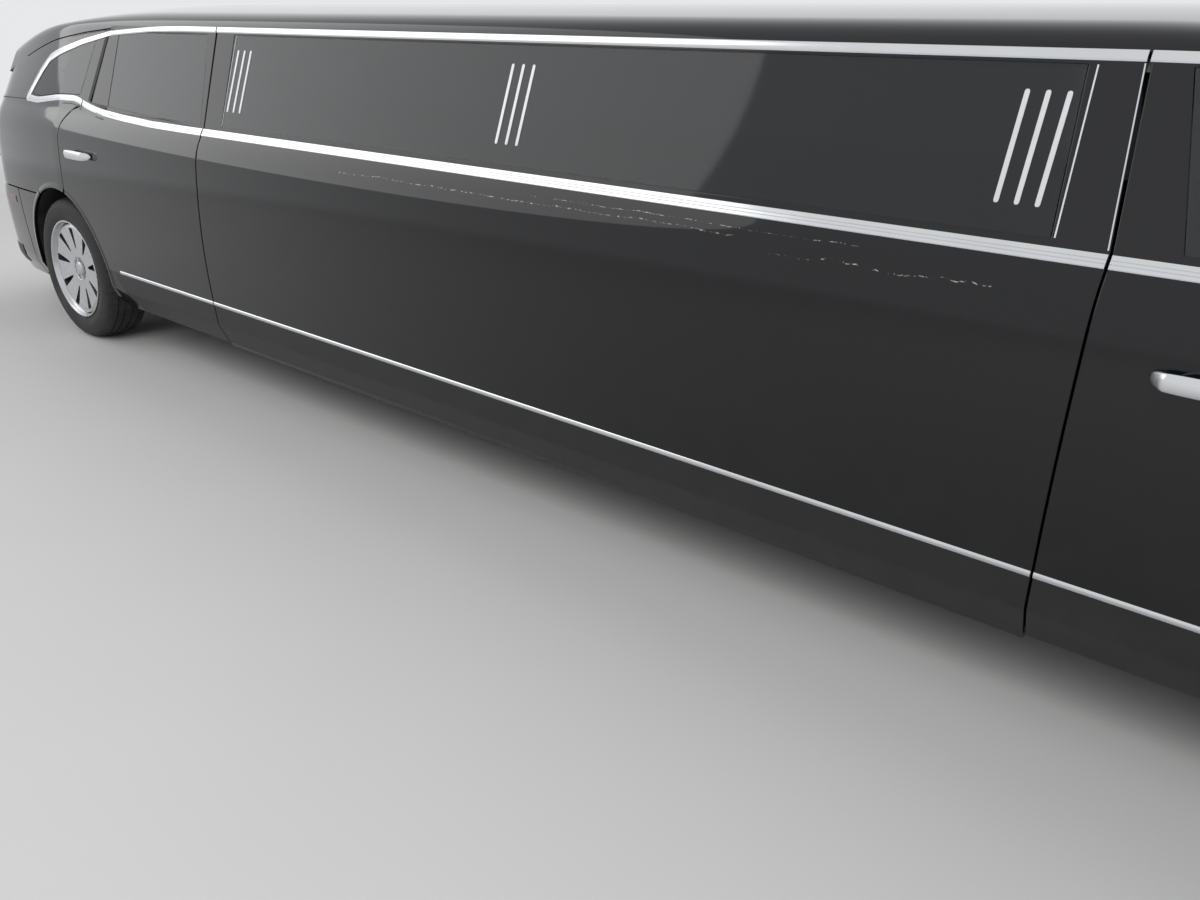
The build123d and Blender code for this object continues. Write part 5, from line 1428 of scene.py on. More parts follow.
def nose_pieces():
    """Fenders and headlamps: each lamp is a lined housing with three bowls behind a clear lens."""
    lamp_z = np.linspace(lamp_low + 0.004, lamp_high - 0.004, 9)
    slant = np.interp(lamp_z, [lamp_low, lamp_high], [0.06, 0.115])
    uv = rows_between(bumper_seam + slant, lamp_in, lamp_z, 22)
    turn = full_turn(36)
    bowl = np.array([1.0, 0.98, 0.85, 0.6, 0.30, 0.29, 0.16, 0.02])[:, None]
    depth = np.array([0.020, 0.012, -0.004, -0.016, -0.022, -0.004, 0.004, 0.006])[:, None]
    for side, label in both_sides:
        lay(fender_skin(), f"fender_skin_{label}", ("paint", "cladding"), "body", side,
            ("front_fenders",))
        lens = slab(shell, uv, -0.002, 0.004)
        lay(lens, f"headlamp_lens_{label}", ("lamp",), "body", side, ("headlamps",))
        inner = slab(shell, uv, -0.075, 0.003, 1)
        for share, radius in ((0.32, 0.052), (0.62, 0.058), (0.86, 0.050)):
            place = bumper_seam + 0.1 + (lamp_in - bumper_seam - 0.1) * share
            x, y, z = lifted(shell, np.array([place]), np.array([0.825]), -0.045)[0]
            r = radius * bowl
            points = np.stack([x + depth + 0 * turn, y + r * np.cos(turn), z + r * np.sin(turn)], -1)
            inner.add(points, grid_quads(8, 36, True))
        lay(inner, f"headlamp_bowls_{label}", ("reflector", "gloss_black"), "body", side)


def nose_loop(half, low_z, high_z, radius):
    """A closed line round an opening in the nose, with rounded corners."""
    path = rounded([(-half, low_z), (half, low_z), (half, high_z), (-half, high_z)], radius, 9)
    return along_line(np.concatenate([path, path[:1]]), 140)[:-1]


def nose_strip(path, width, profile, mark, lift=0.0, closed=False):
    """A profile carried along a path on the nose."""
    return strip(nose_shell, path, width, profile, lift, mark, closed)


def nose_roll(reach):
    """The nose's top edge, which rolls back to the hood's front edge."""
    x, y = hood_outline(0.005)[1].T
    low_curve = nose_shell(np.linspace(-reach + 0.1, reach - 0.1, 45), np.full(45, nose_top))
    high_curve = np.stack([x, y, hood_z(x, y) - edge_drop], -1)
    bend = np.stack([low_curve[:, 0] - 0.006, low_curve[:, 1], high_curve[:, 2] + 0.004], -1)
    return arched(low_curve, bend, high_curve, 9)


def nose_corner(roll):
    """Each top corner, ruled from the fender's front edge and shoulder to the end of that roll."""
    edge = shell(shoulder_a, np.linspace(nose_top, float(nose_values(shoulder_a)[3]) - 0.006, 9))
    high = np.array([*edge_front, hood_z(*edge_front) - edge_drop])
    row = arched(edge[-1:], (edge[-1:] + high) / 2 + shoulder_bulge, high[None], 9)[:, 0]
    near = along_line(np.concatenate([edge, row[1:]]), 18)
    return between(near, along_line(roll[:, -1], 18), 7)


def nose_bumper():
    """The front bumper in bands round its openings, with a chrome surround, an intake mesh and a lip, and
    the grille's upright bars in front of a dark back."""
    reach = nose_end - (bumper_seam + half_gap)
    lamp_u = nose_end - lamp_in
    grille_u = float(distance_out(nose_shell, 0.418, 0.70))
    intake_u = float(distance_out(nose_shell, 0.525, 0.38))
    bands = [(0.245, intake_low, -reach, reach, 90), (intake_high, grille_low, -reach, reach, 90),
             (lamp_high, nose_top, -reach + 0.1, reach - 0.1, 80)]
    for side in (1, -1):
        bands += [(intake_low, intake_high, side * intake_u, side * reach, 30),
                  (grille_low, lamp_low, side * grille_u, side * reach, 30),
                  (lamp_low, lamp_high, side * grille_u, side * lamp_u, 4)]
    mesh = Mesh()
    for low_z, high_z, low_u, high_u, count in bands:
        grid = grid_of(np.linspace(low_u, high_u, count),
                       np.linspace(low_z, high_z, max(int((high_z - low_z) / 0.02), 3)))
        mesh.take(panel(nose_shell, grid, "", inset=0.0))
    # Legs beside the wheel arches, each with its part of the arch's lip
    leg_z = np.linspace(0.250, 0.597, 18)
    leg_a = front_axle + np.sqrt(arch_radius**2 - (leg_z - hub_z) ** 2) + 0.001
    leg = rows_between(nose_end - leg_a, reach, leg_z, 8)
    lip = arch(front_axle, np.arcsin((leg_z - hub_z) / arch_radius), lip_clear) * (-1, 1) + (nose_end, 0)
    for side in (1, -1):
        mesh.take(panel(nose_shell, leg * (side, 1), "", inset=0.0))
        profile = lip_profile if side < 0 else [(-a, b) for a, b in lip_profile[::-1]]
        mesh.take(nose_strip(lip * (side, 1), lip_width, profile, 0))
    roll = nose_roll(reach)
    mesh.add(roll, grid_quads(9, 45))
    corner_patch = nose_corner(roll)
    mesh.take(sheet(corner_patch))
    mesh.take(sheet(corner_patch * (1, -1, 1)))
    mesh.take(nose_strip(
        nose_loop(grille_u - 0.004, 0.548, lamp_high - 0.006, 0.05), 0.026,
        [(-1, -0.03), (-1, 0.001), (-0.6, 0.0045), (0.2, 0.005), (1, 0.001), (1, -0.03)], 1, closed=True))
    mesh.take(nose_strip(
        nose_loop(intake_u - 0.004, 0.336, 0.424, 0.03), 0.018,
        [(-1, -0.03), (-1, 0.001), (0, 0.005), (1, 0.001), (1, -0.03)], 2, closed=True))
    bar = [(-1, -0.03), (-1, -0.012), (1, -0.012), (1, -0.03)]
    for z in np.linspace(0.352, 0.408, 4):
        mesh.take(nose_strip(level(-intake_u, intake_u, z, 60), 0.008, bar, 2))
    lip_bar = [(-1, -0.01), (-1, 0.002), (0, 0.006), (1, 0.002), (1, -0.01)]
    mesh.take(nose_strip(level(-reach + 0.02, reach - 0.02, 0.262, 90), 0.03, lip_bar, 2))
    for side in (1, -1):
        path = level(grille_u + 0.10, grille_u + 0.24, 0.47, 12) * (side, 1)
        mesh.take(nose_strip(path, 0.05, round_profile, 3, 0.002))
    finish_piece("front_bumper_skin", mesh, ("paint", "chrome", "cladding", "reflector"), "body",
                 ("front_bumper",))
    bars = Mesh()
    upright_bar = [(-1, -0.034), (-0.7, -0.012), (0, -0.006), (0.7, -0.012), (1, -0.034)]
    for u in np.linspace(-grille_u + 0.035, grille_u - 0.035, 19):
        bars.take(nose_strip(upright(u, 0.556, lamp_high - 0.014, 14), 0.012, upright_bar, 0))
    back_u = grille_u + 0.01
    back = grid_of(np.linspace(-back_u, back_u, 40), np.linspace(0.545, lamp_high - 0.004, 10))
    bars.take(slab(nose_shell, back, -0.050, 0.004, 1))
    under = grid_of(np.linspace(-intake_u, intake_u, 40), np.linspace(intake_low, intake_high, 5))
    bars.take(slab(nose_shell, under, -0.040, 0.004, 1))
    finish_piece("grille_bars", bars, ("chrome", "rubber"), "body", ("grille",))


def cowl_piece():
    """The cowl between the windscreen's foot and the hood, with a ribbed face."""
    y = np.linspace(-0.770, 0.770, 60)
    rear = np.stack([screen_x(y, np.full(60, 1.170)) - 0.02, y, np.full(60, 1.168)], -1)
    edge_x, edge_y = hood_outline(0.007)[0].T
    front_x = np.interp(y, edge_y, edge_x)
    front = np.stack([front_x, y, hood_z(front_x, y) - 0.010], -1)
    grid = between(rear, front, 24)
    ribs, rib_height = 6, 0.003
    grid[..., 2] += (rib_height * np.sin(np.linspace(0, 1, 24) * 2 * math.pi * ribs))[:, None] - 0.004
    mesh = Mesh().add(grid, grid_quads(24, 60)[:, ::-1])
    mesh.add(grid - (0, 0, 0.03), grid_quads(24, 60))
    finish_piece("cowl_cover", mesh, ("cladding",), "body", ("cowl",))


def leaned(points, angle):
    """Points turned by an angle about an axis along Y."""
    c, s = math.cos(angle), math.sin(angle)
    x, y, z = points[..., 0], points[..., 1], points[..., 2]
    return np.stack([x * c - z * s, y, x * s + z * c], -1)


def wheel_shell(u, v):
    """A wheel's face about its own centre, dished a little between its hub and its rim."""
    r = np.hypot(u, v)
    out = 0.080 + 0.016 * np.clip((r - 0.06) / 0.17, 0, 1) ** 1.5 - 0.012 * np.clip((r - 0.222) / 0.02, 0, 1)
    return np.stack([u, out, v], -1)


hub_hole = 0.0002
tyre_side = [
    (0.2475, 0.096), (0.2500, 0.1035), (0.2600, 0.1045), (0.2680, 0.1085), (0.2800, 0.1130), (0.2950, 0.1162),
    (0.3050, 0.1170), (0.3110, 0.1168), (0.3118, 0.1156), (0.3160, 0.1154), (0.3170, 0.1163), (0.3280, 0.1150),
    (0.3400, 0.1110), (0.3500, 0.1050), (0.3570, 0.0980), (0.3620, 0.0900), (0.3650, 0.0820), (0.3670, 0.0740),
]
groove_half = [(0.3700, 0.006), (0.3690, 0.0052), (0.3625, 0.0042)]
groove = groove_half + [(r, -y) for r, y in groove_half[::-1]]
tyre_inside = [(0.2500, -0.090), (0.2470, -0.04), (0.2470, 0.04), (0.2470, 0.090)]
barrel = [
    (0.2570, 0.1045), (0.2570, 0.1080), (0.2555, 0.1110), (0.2525, 0.1120), (0.2490, 0.1110),
    (0.2465, 0.1070), (0.2440, 0.0990), (0.2405, 0.0900), (0.2330, 0.0820), (0.2290, 0.0700),
    (0.2290, -0.0900), (0.2330, -0.1000), (0.2500, -0.1100), (0.2560, -0.1110), (0.2570, -0.1045),
    (0.2460, -0.1040), (0.2350, -0.0850), (0.2340, 0.0750), (0.2400, 0.0880), (0.2460, 0.0960),
    (0.2500, 0.1045), (0.2570, 0.1045),
]
cap = [
    (0.062, 0.0815), (0.0600, 0.0795), (0.0560, 0.0790), (0.0545, 0.0740), (0.0380, 0.0720), (0.0370, 0.0810),
    (0.0350, 0.0840), (0.0300, 0.0860), (0.0150, 0.0872), (hub_hole, 0.0876),
]
hub = [(0.058, 0.070), (0.076, 0.050), (0.076, 0.021), (0.036, 0.021), (0.036, 0.060), (hub_hole, 0.060)]
nut = [(0.0075, 0.070), (0.0075, 0.082), (0.0062, 0.0855), (hub_hole, 0.0862)]


def tyre_mesh(centre, count=360):
    """A tyre: a lathed profile with four grooves, and cuts across its shoulders and its middle ribs."""
    grooves = [(r, offset + y) for offset in (0.058, 0.021, -0.021, -0.058) for r, y in groove]
    back = [(r, -y) for r, y in tyre_side[::-1]]
    profile = tyre_side + grooves + back + tyre_inside + tyre_side[:1]
    tyre = lathe(profile, centre, count)
    away = tyre.points[0].reshape(len(profile), count, 3) - centre
    radius, offset = np.hypot(away[..., 0], away[..., 2]), np.abs(away[..., 1])
    turn = np.arange(count)
    shoulder = (turn % 6 < 1) & (radius > 0.352) & (offset > 0.064)
    rib = ((turn + 3) % 6 < 1) & (radius > 0.3695) & (offset < 0.06)
    away[..., ::2] *= (1 - (shoulder * 0.0045 + rib * 0.003) / np.maximum(radius, 0.1))[..., None]
    tyre.points[0] = (centre + away).reshape(-1, 3)
    return tyre


def by_ray(path, centre_r, rays):
    """A closed line's points where rays from a place centre_r out from the wheel's middle cross it."""
    path = along_line(np.concatenate([path, path[:1]]), 601)[:-1]
    angle = np.arctan2(path[:, 1], path[:, 0] - centre_r)
    order = np.argsort(angle)
    angle = np.concatenate([angle[order] + turn for turn in (-2 * math.pi, 0, 2 * math.pi)])
    path = np.concatenate([path[order]] * 3)
    return np.stack([np.interp(rays, angle, path[:, i]) for i in (0, 1)], -1)


def spoke_patches(half_turn, pocket_width):
    """A sector of the wheel's face with a pocket cut through it, and the pocket's walls."""
    centre_r, ray_count = 0.165, 56
    angles = np.linspace(-half_turn, half_turn, 9)
    loop = np.array([(r * math.cos(t), r * math.sin(t)) for r, arc in ((0.234, angles), (0.058, angles[::-1]))
                     for t in arc])
    pocket = rounded([(0.104, 0.0045), (0.217, pocket_width), (0.217, -pocket_width), (0.104, -0.0045)],
                     0.008, 7)[::-1]
    rays = np.linspace(-math.pi, math.pi, ray_count, endpoint=False)
    inside, outside = by_ray(pocket, centre_r, rays), by_ray(loop, centre_r, rays)
    face = wheel_shell(*between(inside, outside, 7).reshape(-1, 2).T)
    outward = inside - (centre_r, 0)
    outward /= np.maximum(np.hypot(*outward.T), 1e-9)[:, None]
    steps = ((0.0, 0.0), (-0.0012, 0.0008), (-0.0018, 0.0030), (-0.0010, 0.040))
    walls = [wheel_shell(*(inside + outward * shift).T) - (0, drop, 0) for shift, drop in steps]
    return ((face, grid_quads(7, ray_count, True)[:, ::-1], 0),
            (np.concatenate(walls), grid_quads(len(steps), ray_count, True), 1))


def rim_mesh(centre, sizes):
    """A rim: a lathed barrel and lip, flat spokes whose pockets are cut right through, cap and nuts."""
    rim = lathe(barrel, centre, 128)
    number = int(sizes.spoke_count)
    half_turn = math.pi / number
    patches = spoke_patches(half_turn, sizes.pocket_width)
    for k in range(number):
        for points, quads, mark in patches:
            rim.add(leaned(points, math.pi / 2 + k * 2 * half_turn) + centre, quads, mark)
    rim.take(lathe(cap, centre, 64))
    rim.take(lathe(hub, centre, 48, 1))
    for k in range(5):
        turn = math.pi / 2 + k * 2 * math.pi / 5
        rim.take(lathe(nut, centre + 0.0465 * np.array([math.cos(turn), 0, math.sin(turn)]), 6))
    return rim


def wheel_pieces(sizes):
    """Tyre and rim of each wheel."""
    for axle, x in (("front", front_axle), ("rear", rear_axle)):
        centre = np.array([x, track_half, hub_z])
        for side, label in both_sides:
            body = f"{axle}_wheel_{label}"
            lay(tyre_mesh(centre), f"{axle}_tyre_tread_{label}", ("tyre",), body, side,
                (f"{axle}_tyre_{label}",))
            lay(rim_mesh(centre, sizes), f"{axle}_rim_{label}", ("alloy", "steel"), body, side,
                (body,))


def squared(value, power):
    """A sine or cosine pushed outwards, so that its circle turns into a squared-off oval."""
    return np.sign(value) * np.abs(value) ** power


def mirror_pieces():
    """Door mirrors: a housing whose section is a squared-off oval that swells outwards, its glass set in
    the rear face, and a foot that runs down to the door."""
    t = np.linspace(0, 1, 26)
    turn = full_turn(44)
    round_off = np.sqrt(np.clip(1 - np.clip((t - 0.80) / 0.20, 0, 1) ** 2, 0.002, 1))
    swell = (round_off * (0.55 + 0.45 * np.clip(t / 0.35, 0, 1) ** 0.8))[:, None]
    across, up = (squared(f(turn), 0.62)[None] * half * swell for f, half in ((np.cos, 0.043), (np.sin, 0.060)))
    across = np.where(across > 0, across, across * 0.80)
    y_out, y_in, z_mid = corner("door_mirror_left", 1, True) - 0.001, 0.905, 1.262
    glass_half_z, glass_back = 0.043, 0.0365
    rise = np.linspace(0, 1, 8)[:, None]
    for side, label in both_sides:
        x_mid = middle(f"door_mirror_{label}")[0]
        y = np.repeat((y_in + (y_out - y_in) * t)[:, None], 44, 1)
        mesh = tube(np.stack([x_mid + across, y, z_mid + up], -1))
        glass = grid_of(np.linspace(y_in + 0.028, y_out - 0.020, 12),
                        np.linspace(z_mid - glass_half_z, z_mid + glass_half_z, 8))
        mesh.add(np.insert(glass, 0, x_mid - glass_back, -1), grid_quads(8, 12)[:, ::-1], 1)
        foot = np.stack([
            x_mid + 0.005 + 0.026 * np.cos(turn) * (1 - 0.2 * rise),
            0.884 + 0.050 * rise + 0.004 * np.sin(turn),
            1.196 + 0.028 * rise + 0.012 * np.sin(turn),
        ], -1)
        mesh.take(tube(foot, mark=2))
        lay(mesh, f"mirror_housing_{label}", ("paint", "reflector", "gloss_black"), f"front_door_{label}",
            side, (f"door_mirror_{label}",))


def pillow(size, lean, columns=14, power=5.0):
    """A closed rounded block: each point of a cube's six grids is pushed onto a superellipsoid."""
    a, b = np.meshgrid(*[np.linspace(-1, 1, columns)] * 2)
    sheets = [np.roll(np.stack([np.full_like(a, sign), a * sign, b], -1), axis, -1)
              for axis in range(3) for sign in (-1, 1)]
    points = np.stack(sheets).reshape(-1, 3)
    norm = np.sum(np.abs(points) ** power, -1, keepdims=True) ** (1 / power)
    cells = np.concatenate([grid_quads(columns, columns) + k * columns**2 for k in range(6)])
    return leaned(points / norm * size / 2, lean), cells


def read(items, name, width=1):
    """One value of each item of a mesh, as an array."""
    values = np.empty(len(items) * width, float if width > 1 else int)
    items.foreach_get(name, values)
    return values.reshape(-1, width) if width > 1 else values


def plump(points, cells, voxel, cap=0.010, frames=14):
    """A pad's skin remeshed evenly, blown up a little as cloth under pressure, and read back as arrays."""
    data = bpy.data.meshes.new("pad_start")
    data.from_pydata(points.tolist(), [], cells.tolist())
    pad = bpy.data.objects.new("pad_start", data)
    scene = bpy.context.scene
    scene.collection.objects.link(pad)
    remesh = pad.modifiers.new("even", "REMESH")
    remesh.mode = "VOXEL"
    remesh.voxel_size = voxel
    even = bpy.data.meshes.new_from_object(pad.evaluated_get(bpy.context.evaluated_depsgraph_get()))
    pad.modifiers.clear()
    pad.data = even
    result = read(even.vertices, "co", 3)
    cloth = pad.modifiers.new("cloth", "CLOTH")
    cloth.settings.use_pressure = True
    cloth.settings.uniform_pressure_force = 4.0
    cloth.settings.effector_weights.gravity = 0
    cloth.point_cache.frame_start = 1
    cloth.point_cache.frame_end = frames
    for step in range(1, frames + 1):
        scene.frame_set(step)
    blown = pad.evaluated_get(bpy.context.evaluated_depsgraph_get()).data
    move = read(blown.vertices, "co", 3) - result
    far = np.maximum(np.linalg.norm(move, axis=-1, keepdims=True), 1e-9)
    result = result + move / far * np.minimum(far, cap)
    pad.modifiers.clear()
    scene.frame_set(1)
    totals, starts = read(even.polygons, "loop_total"), read(even.polygons, "loop_start")
    corners = read(even.loops, "vertex_index")
    quads = np.stack([corners[starts + np.minimum(k, totals - 1)] for k in range(4)], -1)
    bpy.data.objects.remove(pad)
    bpy.data.meshes.remove(even)
    return result, quads


def piping(centre, size, lean, radius=0.005):
    """A welt round a pad's middle height."""
    turn, ring = full_turn(72)[:, None], full_turn(8)[None]
    cos, sin = np.cos(turn), np.sin(turn)
    grid = np.stack([
        squared(cos, 0.42) * size[0] / 2 + cos * radius * np.cos(ring),
        squared(sin, 0.42) * size[1] / 2 + sin * radius * np.cos(ring),
        size[2] * 0.22 + radius * np.sin(ring) + 0 * turn,
    ], -1)
    grid = leaned(grid, lean)
    return tube(np.concatenate([grid, grid[:1]]) + np.asarray(centre), False)


def seat_piece(name, parts, replaced):
    """A seat of several pads, each simulated once for its size and set in each of its places."""
    mesh = Mesh()
    made = {}
    for size, lean, voxel, places in parts:
        if (size, lean) not in made:
            made[size, lean] = plump(*pillow(np.array(size) - 0.022, lean), voxel)
        points, quads = made[size, lean]
        for place in places:
            mesh.add(points + np.asarray(place), quads)
            mesh.take(piping(place, np.array(size) - 0.014, lean))
    piece = finish_piece(name, mesh, ("leather",), "body", replaced, 70)


def cabin_pieces():
    """Front seats, side bench and rear bench as simulated pads."""
    seat_x = front_seam + 0.210
    front_places = lambda x, z: [(x, y, z) for y in (0.395, -0.395)]
    seat_piece("front_seat_pads", [
        ((0.53, 0.49, 0.15), 0.0, 0.016, front_places(seat_x + 0.29, 0.515)),
        ((0.44, 0.47, 0.145), 0.0, 0.016, front_places(seat_x + 0.26, 0.375)),
        ((0.125, 0.48, 0.60), 0.22, 0.016, front_places(seat_x + 0.030, 0.835)),
        ((0.105, 0.25, 0.19), 0.12, 0.012, front_places(seat_x - 0.080, 1.230)),
    ], ("front_seats",))
    low_x = rear_seam + 0.350
    step = (corner("side_bench", 0, True) - low_x) / 5
    bench_places = lambda y, z: [(low_x + step * (k + 0.5), y, z) for k in range(5)]
    seat_piece("side_bench_pads", [
        ((step - 0.006, 0.43, 0.17), 0.0, 0.020, bench_places(0.528, 0.625)),
        ((step - 0.006, 0.40, 0.22), 0.0, 0.020, bench_places(0.545, 0.420)),
        ((step - 0.006, 0.10, 0.385), 0.0, 0.020, bench_places(0.795, 0.895)),
    ], ("side_bench",))
    kick = rear_axle + 0.560
    rear_places = lambda x, z: [(x, y, z) for y in (-0.452, 0, 0.452)]
    seat_piece("rear_bench_pads", [
        ((0.50, 0.445, 0.17), 0.0, 0.018, rear_places(kick + 0.335, 0.600)),
        ((0.50, 0.445, 0.20), 0.0, 0.018, rear_places(kick + 0.315, 0.410)),
        ((0.12, 0.445, 0.53), 0.14, 0.018, rear_places(kick + 0.110, 0.905)),
    ], ("rear_bench",))


cad_finishes = {
    # node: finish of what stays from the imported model
    "front_door_left": "gloss_black", "front_door_right": "gloss_black", "rear_door_left": "gloss_black",
    "rear_door_right": "gloss_black", "stretch_panels": "gloss_black", "windscreen_pillars": "paint",
    "floor_pan": "cabin", "bulkhead": "cabin", "dashboard": "cabin", "partition": "cabin",
    "steering_wheel": "leather", "steering_column": "cladding", "bar_cabinet": "cabinet",
    "front_wheel_housings": "cladding", "rear_wheel_housings": "cladding", "engine": "iron",
    "front_subframe": "steel", "rear_subframe": "steel", "front_struts": "steel", "driveshaft": "steel",
    "exhaust": "exhaust", "fuel_tank": "steel", "rear_knuckles": "iron",
    "front_knuckle_left": "iron", "front_knuckle_right": "iron",
}


def finish_packed():
    """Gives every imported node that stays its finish: steel, where nothing else is listed."""
    for name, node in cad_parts.items():
        wanted = cad_finishes.get(name, "iron" if "brake_disc" in name else "steel")
        for slot in node.material_slots:
            slot.material = finishes[wanted]


backdrop = (0.80, 0.81, 0.82, 1)


def blended(tree, share, first, second):
    """Two shaders mixed by a share."""
    both = tree.nodes.new("ShaderNodeMixShader")
    for index, value in enumerate((share, first, second)):
        tree.links.new(value, both.inputs[index])
    return both.outputs[0]


def seen_rays(tree):
    """The light path's outputs, and 1 for rays from the camera or from a reflection."""
    path = tree.nodes.new("ShaderNodeLightPath").outputs
    return path, math_node(tree, "MAXIMUM", path["Is Camera Ray"], path["Is Glossy Ray"])


def make_floor(colour, reach=40.0):
    """A pale floor that melts into the backdrop far out."""
    data = bpy.data.meshes.new("floor")
    corners = [(-reach, -reach, 0), (reach, -reach, 0), (reach, reach, 0), (-reach, reach, 0)]
    data.from_pydata(corners, [], [(0, 1, 2, 3)])
    floor = bpy.data.objects.new("floor", data)
    bpy.context.scene.collection.objects.link(floor)
    finish = bpy.data.materials.new("floor_finish")
    finish.use_nodes = True
    tree = finish.node_tree
    body = tree.nodes["Principled BSDF"]
    place = shade(tree, "TexCoord").outputs["Object"]
    soft = shade(tree, "TexNoise", Vector=place, Scale=1.6, Detail=6.0).outputs[0]
    tree.links.new(mixed(tree, soft, tuple(c * 0.96 for c in colour), colour), body.inputs["Base Color"])
    body.inputs["Roughness"].default_value = 0.75
    distance = shade(tree, "VectorMath", (("operation", "LENGTH"),), _0=place).outputs["Value"]
    far = span(tree, distance, 6.0, 17.0)
    _, seen = seen_rays(tree)
    plain = shade(tree, "Emission", Color=backdrop, Strength=1.0).outputs[0]
    shown = blended(tree, math_node(tree, "MULTIPLY", far, seen), body.outputs[0], plain)
    tree.links.new(shown, tree.nodes["Material Output"].inputs["Surface"])
    data.materials.append(finish)


def make_lamps(strength):
    """Three soft round lamps, each aimed at a point of the body. Only the fill shows in reflections."""
    for name, spot, size, power, aim in (
        ("key", (3.0, -9.0, 8.0), 9.0, 740, (0.5, 0, 0.8)),
        ("fill", (-8.0, -5.0, 6.0), 9.5, 235, (-1.0, 0, 0.8)),
        ("over", (0.0, 5.0, 9.0), 11.0, 520, (0, 0, 0.5)),
    ):
        lamp = bpy.data.lights.new(name, "AREA")
        lamp.shape = "DISK"
        lamp.size = size
        lamp.energy = power * strength
        holder = bpy.data.objects.new(name, lamp)
        holder.location = spot
        x, y, z = np.array(spot) - np.array(aim)
        holder.rotation_euler = (math.atan2(math.hypot(x, y), z), 0, math.atan2(y, x) + math.pi / 2)
        holder.visible_glossy = name == "fill"
        bpy.context.scene.collection.objects.link(holder)


def make_world():
    """A pale world: the backdrop for rays that see it, and a dimmer sky as light."""
    world = bpy.data.worlds.new("pale_world")
    bpy.context.scene.world = world
    world.use_nodes = True
    tree = world.node_tree
    tree.nodes.clear()
    path, seen = seen_rays(tree)
    seen = math_node(tree, "MAXIMUM", seen, path["Is Transmission Ray"])
    light = shade(tree, "Background", Color=(0.86, 0.90, 0.95, 1), Strength=0.42).outputs[0]
    behind = shade(tree, "Background", Color=backdrop, Strength=1.0).outputs[0]
    shown = blended(tree, seen, light, behind)
    tree.links.new(shown, tree.nodes.new("ShaderNodeOutputWorld").inputs[0])


def make_camera():
    """The camera: a fitted lens, place, yaw, pitch and roll."""
    data = bpy.data.cameras.new("camera")
    data.sensor_width = 36.0
    data.sensor_fit = "HORIZONTAL"
    data.lens = 971.7 / 1200 * data.sensor_width
    camera = bpy.data.objects.new("camera", data)
    yaw, pitch, roll = (math.radians(a) for a in (38.977, -22.540, 1.852))
    ahead = np.array([-math.sin(yaw) * math.cos(pitch), math.cos(yaw) * math.cos(pitch), math.sin(pitch)])
    right = np.array([math.cos(yaw), math.sin(yaw), 0])
    above = np.cross(right, ahead)
    turn = np.eye(4)
    turn[:3, 0] = math.cos(roll) * right + math.sin(roll) * above
    turn[:3, 1] = -math.sin(roll) * right + math.cos(roll) * above
    turn[:3, 2] = -ahead
    turn[:3, 3] = (5.442 + rear_axle, -3.144, 1.555)
    bpy.context.scene.collection.objects.link(camera)
    camera.matrix_world = Matrix(turn.tolist())
    bpy.context.scene.camera = camera


def colour_choice(name, description, default):
    """A colour property."""
    return FloatVectorProperty(name=name, description=description, subtype="COLOR", size=3, min=0, max=1,
                               default=default)


def length_choice(name, description, default, low, high):
    """A length property with its limits."""
    return FloatProperty(name=name, description=description, unit="LENGTH", default=default, min=low, max=high)


class LimousineColours(bpy.types.PropertyGroup):
    """Colours of the visible finishes."""
    paint_colour: colour_choice("Paint", "Colour of the body's paint", (0.0045, 0.0045, 0.0055))
    glass_tint: colour_choice("Dark glass", "Tint of the privacy glass", (0.055, 0.060, 0.068))
    seat_colour: colour_choice("Seats", "Colour of the leather", (0.022, 0.020, 0.019))
    floor_colour: colour_choice("Floor", "Colour of the studio floor", (0.62, 0.61, 0.60))


class LimousineSizes(bpy.types.PropertyGroup):
    """Sizes of the trim and the wheels, and the strength of the lamps."""
    stripe_width: length_choice(
        "Stripe width", "Width of each silver stripe on the long glass", 0.0115, 0.004, 0.03)
    stripe_spacing: length_choice(
        "Stripe spacing", "Distance between neighbouring stripes", 0.045, 0.02, 0.1)
    spoke_count: IntProperty(
        name="Spokes", description="Number of spokes in each wheel", default=9, min=5, max=14)
    pocket_width: length_choice(
        "Pocket half width", "Half the outer width of the pocket between two spokes", 0.021, 0.01, 0.04)
    lamp_power: FloatProperty(
        name="Lamp power", description="Strength of the studio lamps", default=1.0, min=0.1, max=4)


class LIMOUSINE_OT_finishes(bpy.types.Operator):
    """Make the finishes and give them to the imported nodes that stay"""
    bl_idname = "limousine.finishes"
    bl_label = "Finishes"

    def execute(self, context):
        make_groups()
        make_finishes(context.scene.limousine_colours)
        finish_packed()
        return {"FINISHED"}


class LIMOUSINE_OT_long_sides(bpy.types.Operator):
    """Build the long sides of the added section"""
    bl_idname = "limousine.long_sides"
    bl_label = "Long sides"

    def execute(self, context):
        stretch_sides(context.scene.limousine_sizes)
        return {"FINISHED"}


class LIMOUSINE_OT_doors(bpy.types.Operator):
    """Build the four doors' skins, glass and trim"""
    bl_idname = "limousine.doors"
    bl_label = "Doors"

    def execute(self, context):
        for side, label in both_sides:
            door_front(side, label)
            door_rear(side, label)
        mirror_pieces()
        return {"FINISHED"}


class LIMOUSINE_OT_tail(bpy.types.Operator):
    """Build the quarters, the tailgate and the rear bumper"""
    bl_idname = "limousine.tail"
    bl_label = "Tail"

    def execute(self, context):
        rear_quarters()
        tailgate_piece()
        rear_bumper_piece()
        return {"FINISHED"}


class LIMOUSINE_OT_roof(bpy.types.Operator):
    """Build the roof and the windscreen"""
    bl_idname = "limousine.roof"
    bl_label = "Roof and windscreen"

    def execute(self, context):
        roof_piece()
        windscreen_piece()
        return {"FINISHED"}


class LIMOUSINE_OT_nose(bpy.types.Operator):
    """Build the fenders, hood, bumper, grille and lamps"""
    bl_idname = "limousine.nose"
    bl_label = "Nose"

    def execute(self, context):
        hood_piece()
        nose_pieces()
        nose_bumper()
        cowl_piece()
        return {"FINISHED"}


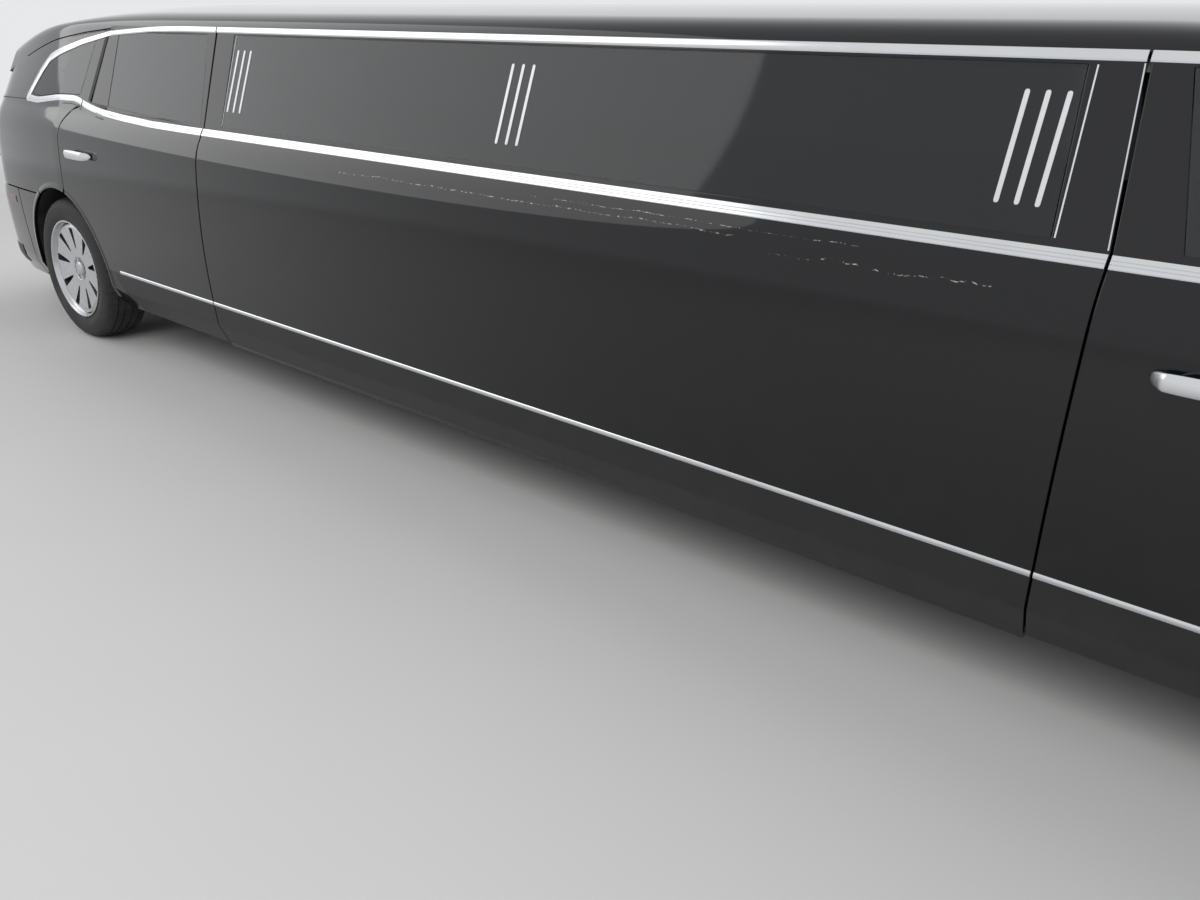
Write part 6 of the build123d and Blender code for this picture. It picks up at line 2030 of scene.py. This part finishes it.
class LIMOUSINE_OT_wheels(bpy.types.Operator):
    """Build the four wheels"""
    bl_idname = "limousine.wheels"
    bl_label = "Wheels"

    def execute(self, context):
        wheel_pieces(context.scene.limousine_sizes)
        return {"FINISHED"}


class LIMOUSINE_OT_cabin(bpy.types.Operator):
    """Build the padded seats"""
    bl_idname = "limousine.cabin"
    bl_label = "Cabin"

    def execute(self, context):
        cabin_pieces()
        return {"FINISHED"}


class LIMOUSINE_OT_stage(bpy.types.Operator):
    """Set the floor, the lamps, the world and the camera"""
    bl_idname = "limousine.stage"
    bl_label = "Stage"

    def execute(self, context):
        make_floor(tuple(context.scene.limousine_colours.floor_colour))
        make_lamps(context.scene.limousine_sizes.lamp_power)
        make_world()
        make_camera()
        context.scene.view_settings.view_transform = "Standard"
        return {"FINISHED"}


class LIMOUSINE_PT_panel(bpy.types.Panel):
    """Lists the sizes, the colours and the operators"""
    bl_label = "Limousine"
    bl_idname = "LIMOUSINE_PT_panel"
    bl_space_type = "VIEW_3D"
    bl_region_type = "UI"
    bl_category = "Limousine"

    def draw(self, context):
        column = self.layout.column()
        for group in (context.scene.limousine_sizes, context.scene.limousine_colours):
            for name in group.__annotations__:
                column.prop(group, name)
        for operator in operators:
            column.operator(operator.bl_idname)


operators = (
    LIMOUSINE_OT_finishes, LIMOUSINE_OT_long_sides, LIMOUSINE_OT_doors, LIMOUSINE_OT_tail, LIMOUSINE_OT_roof,
    LIMOUSINE_OT_nose, LIMOUSINE_OT_wheels, LIMOUSINE_OT_cabin, LIMOUSINE_OT_stage,
)
classes = (LimousineColours, LimousineSizes) + operators + (LIMOUSINE_PT_panel,)


def register():
    for item in classes:
        bpy.utils.register_class(item)
    bpy.types.Scene.limousine_sizes = PointerProperty(type=LimousineSizes)
    bpy.types.Scene.limousine_colours = PointerProperty(type=LimousineColours)


def unregister():
    del bpy.types.Scene.limousine_colours
    del bpy.types.Scene.limousine_sizes
    for item in reversed(classes):
        bpy.utils.unregister_class(item)


def main():
    """Builds everything by its operators."""
    register()
    for name in ("finishes", "long_sides", "doors", "tail", "roof", "nose", "wheels", "cabin", "stage"):
        getattr(bpy.ops.limousine, name)()


if __name__ == "__main__":
    main()
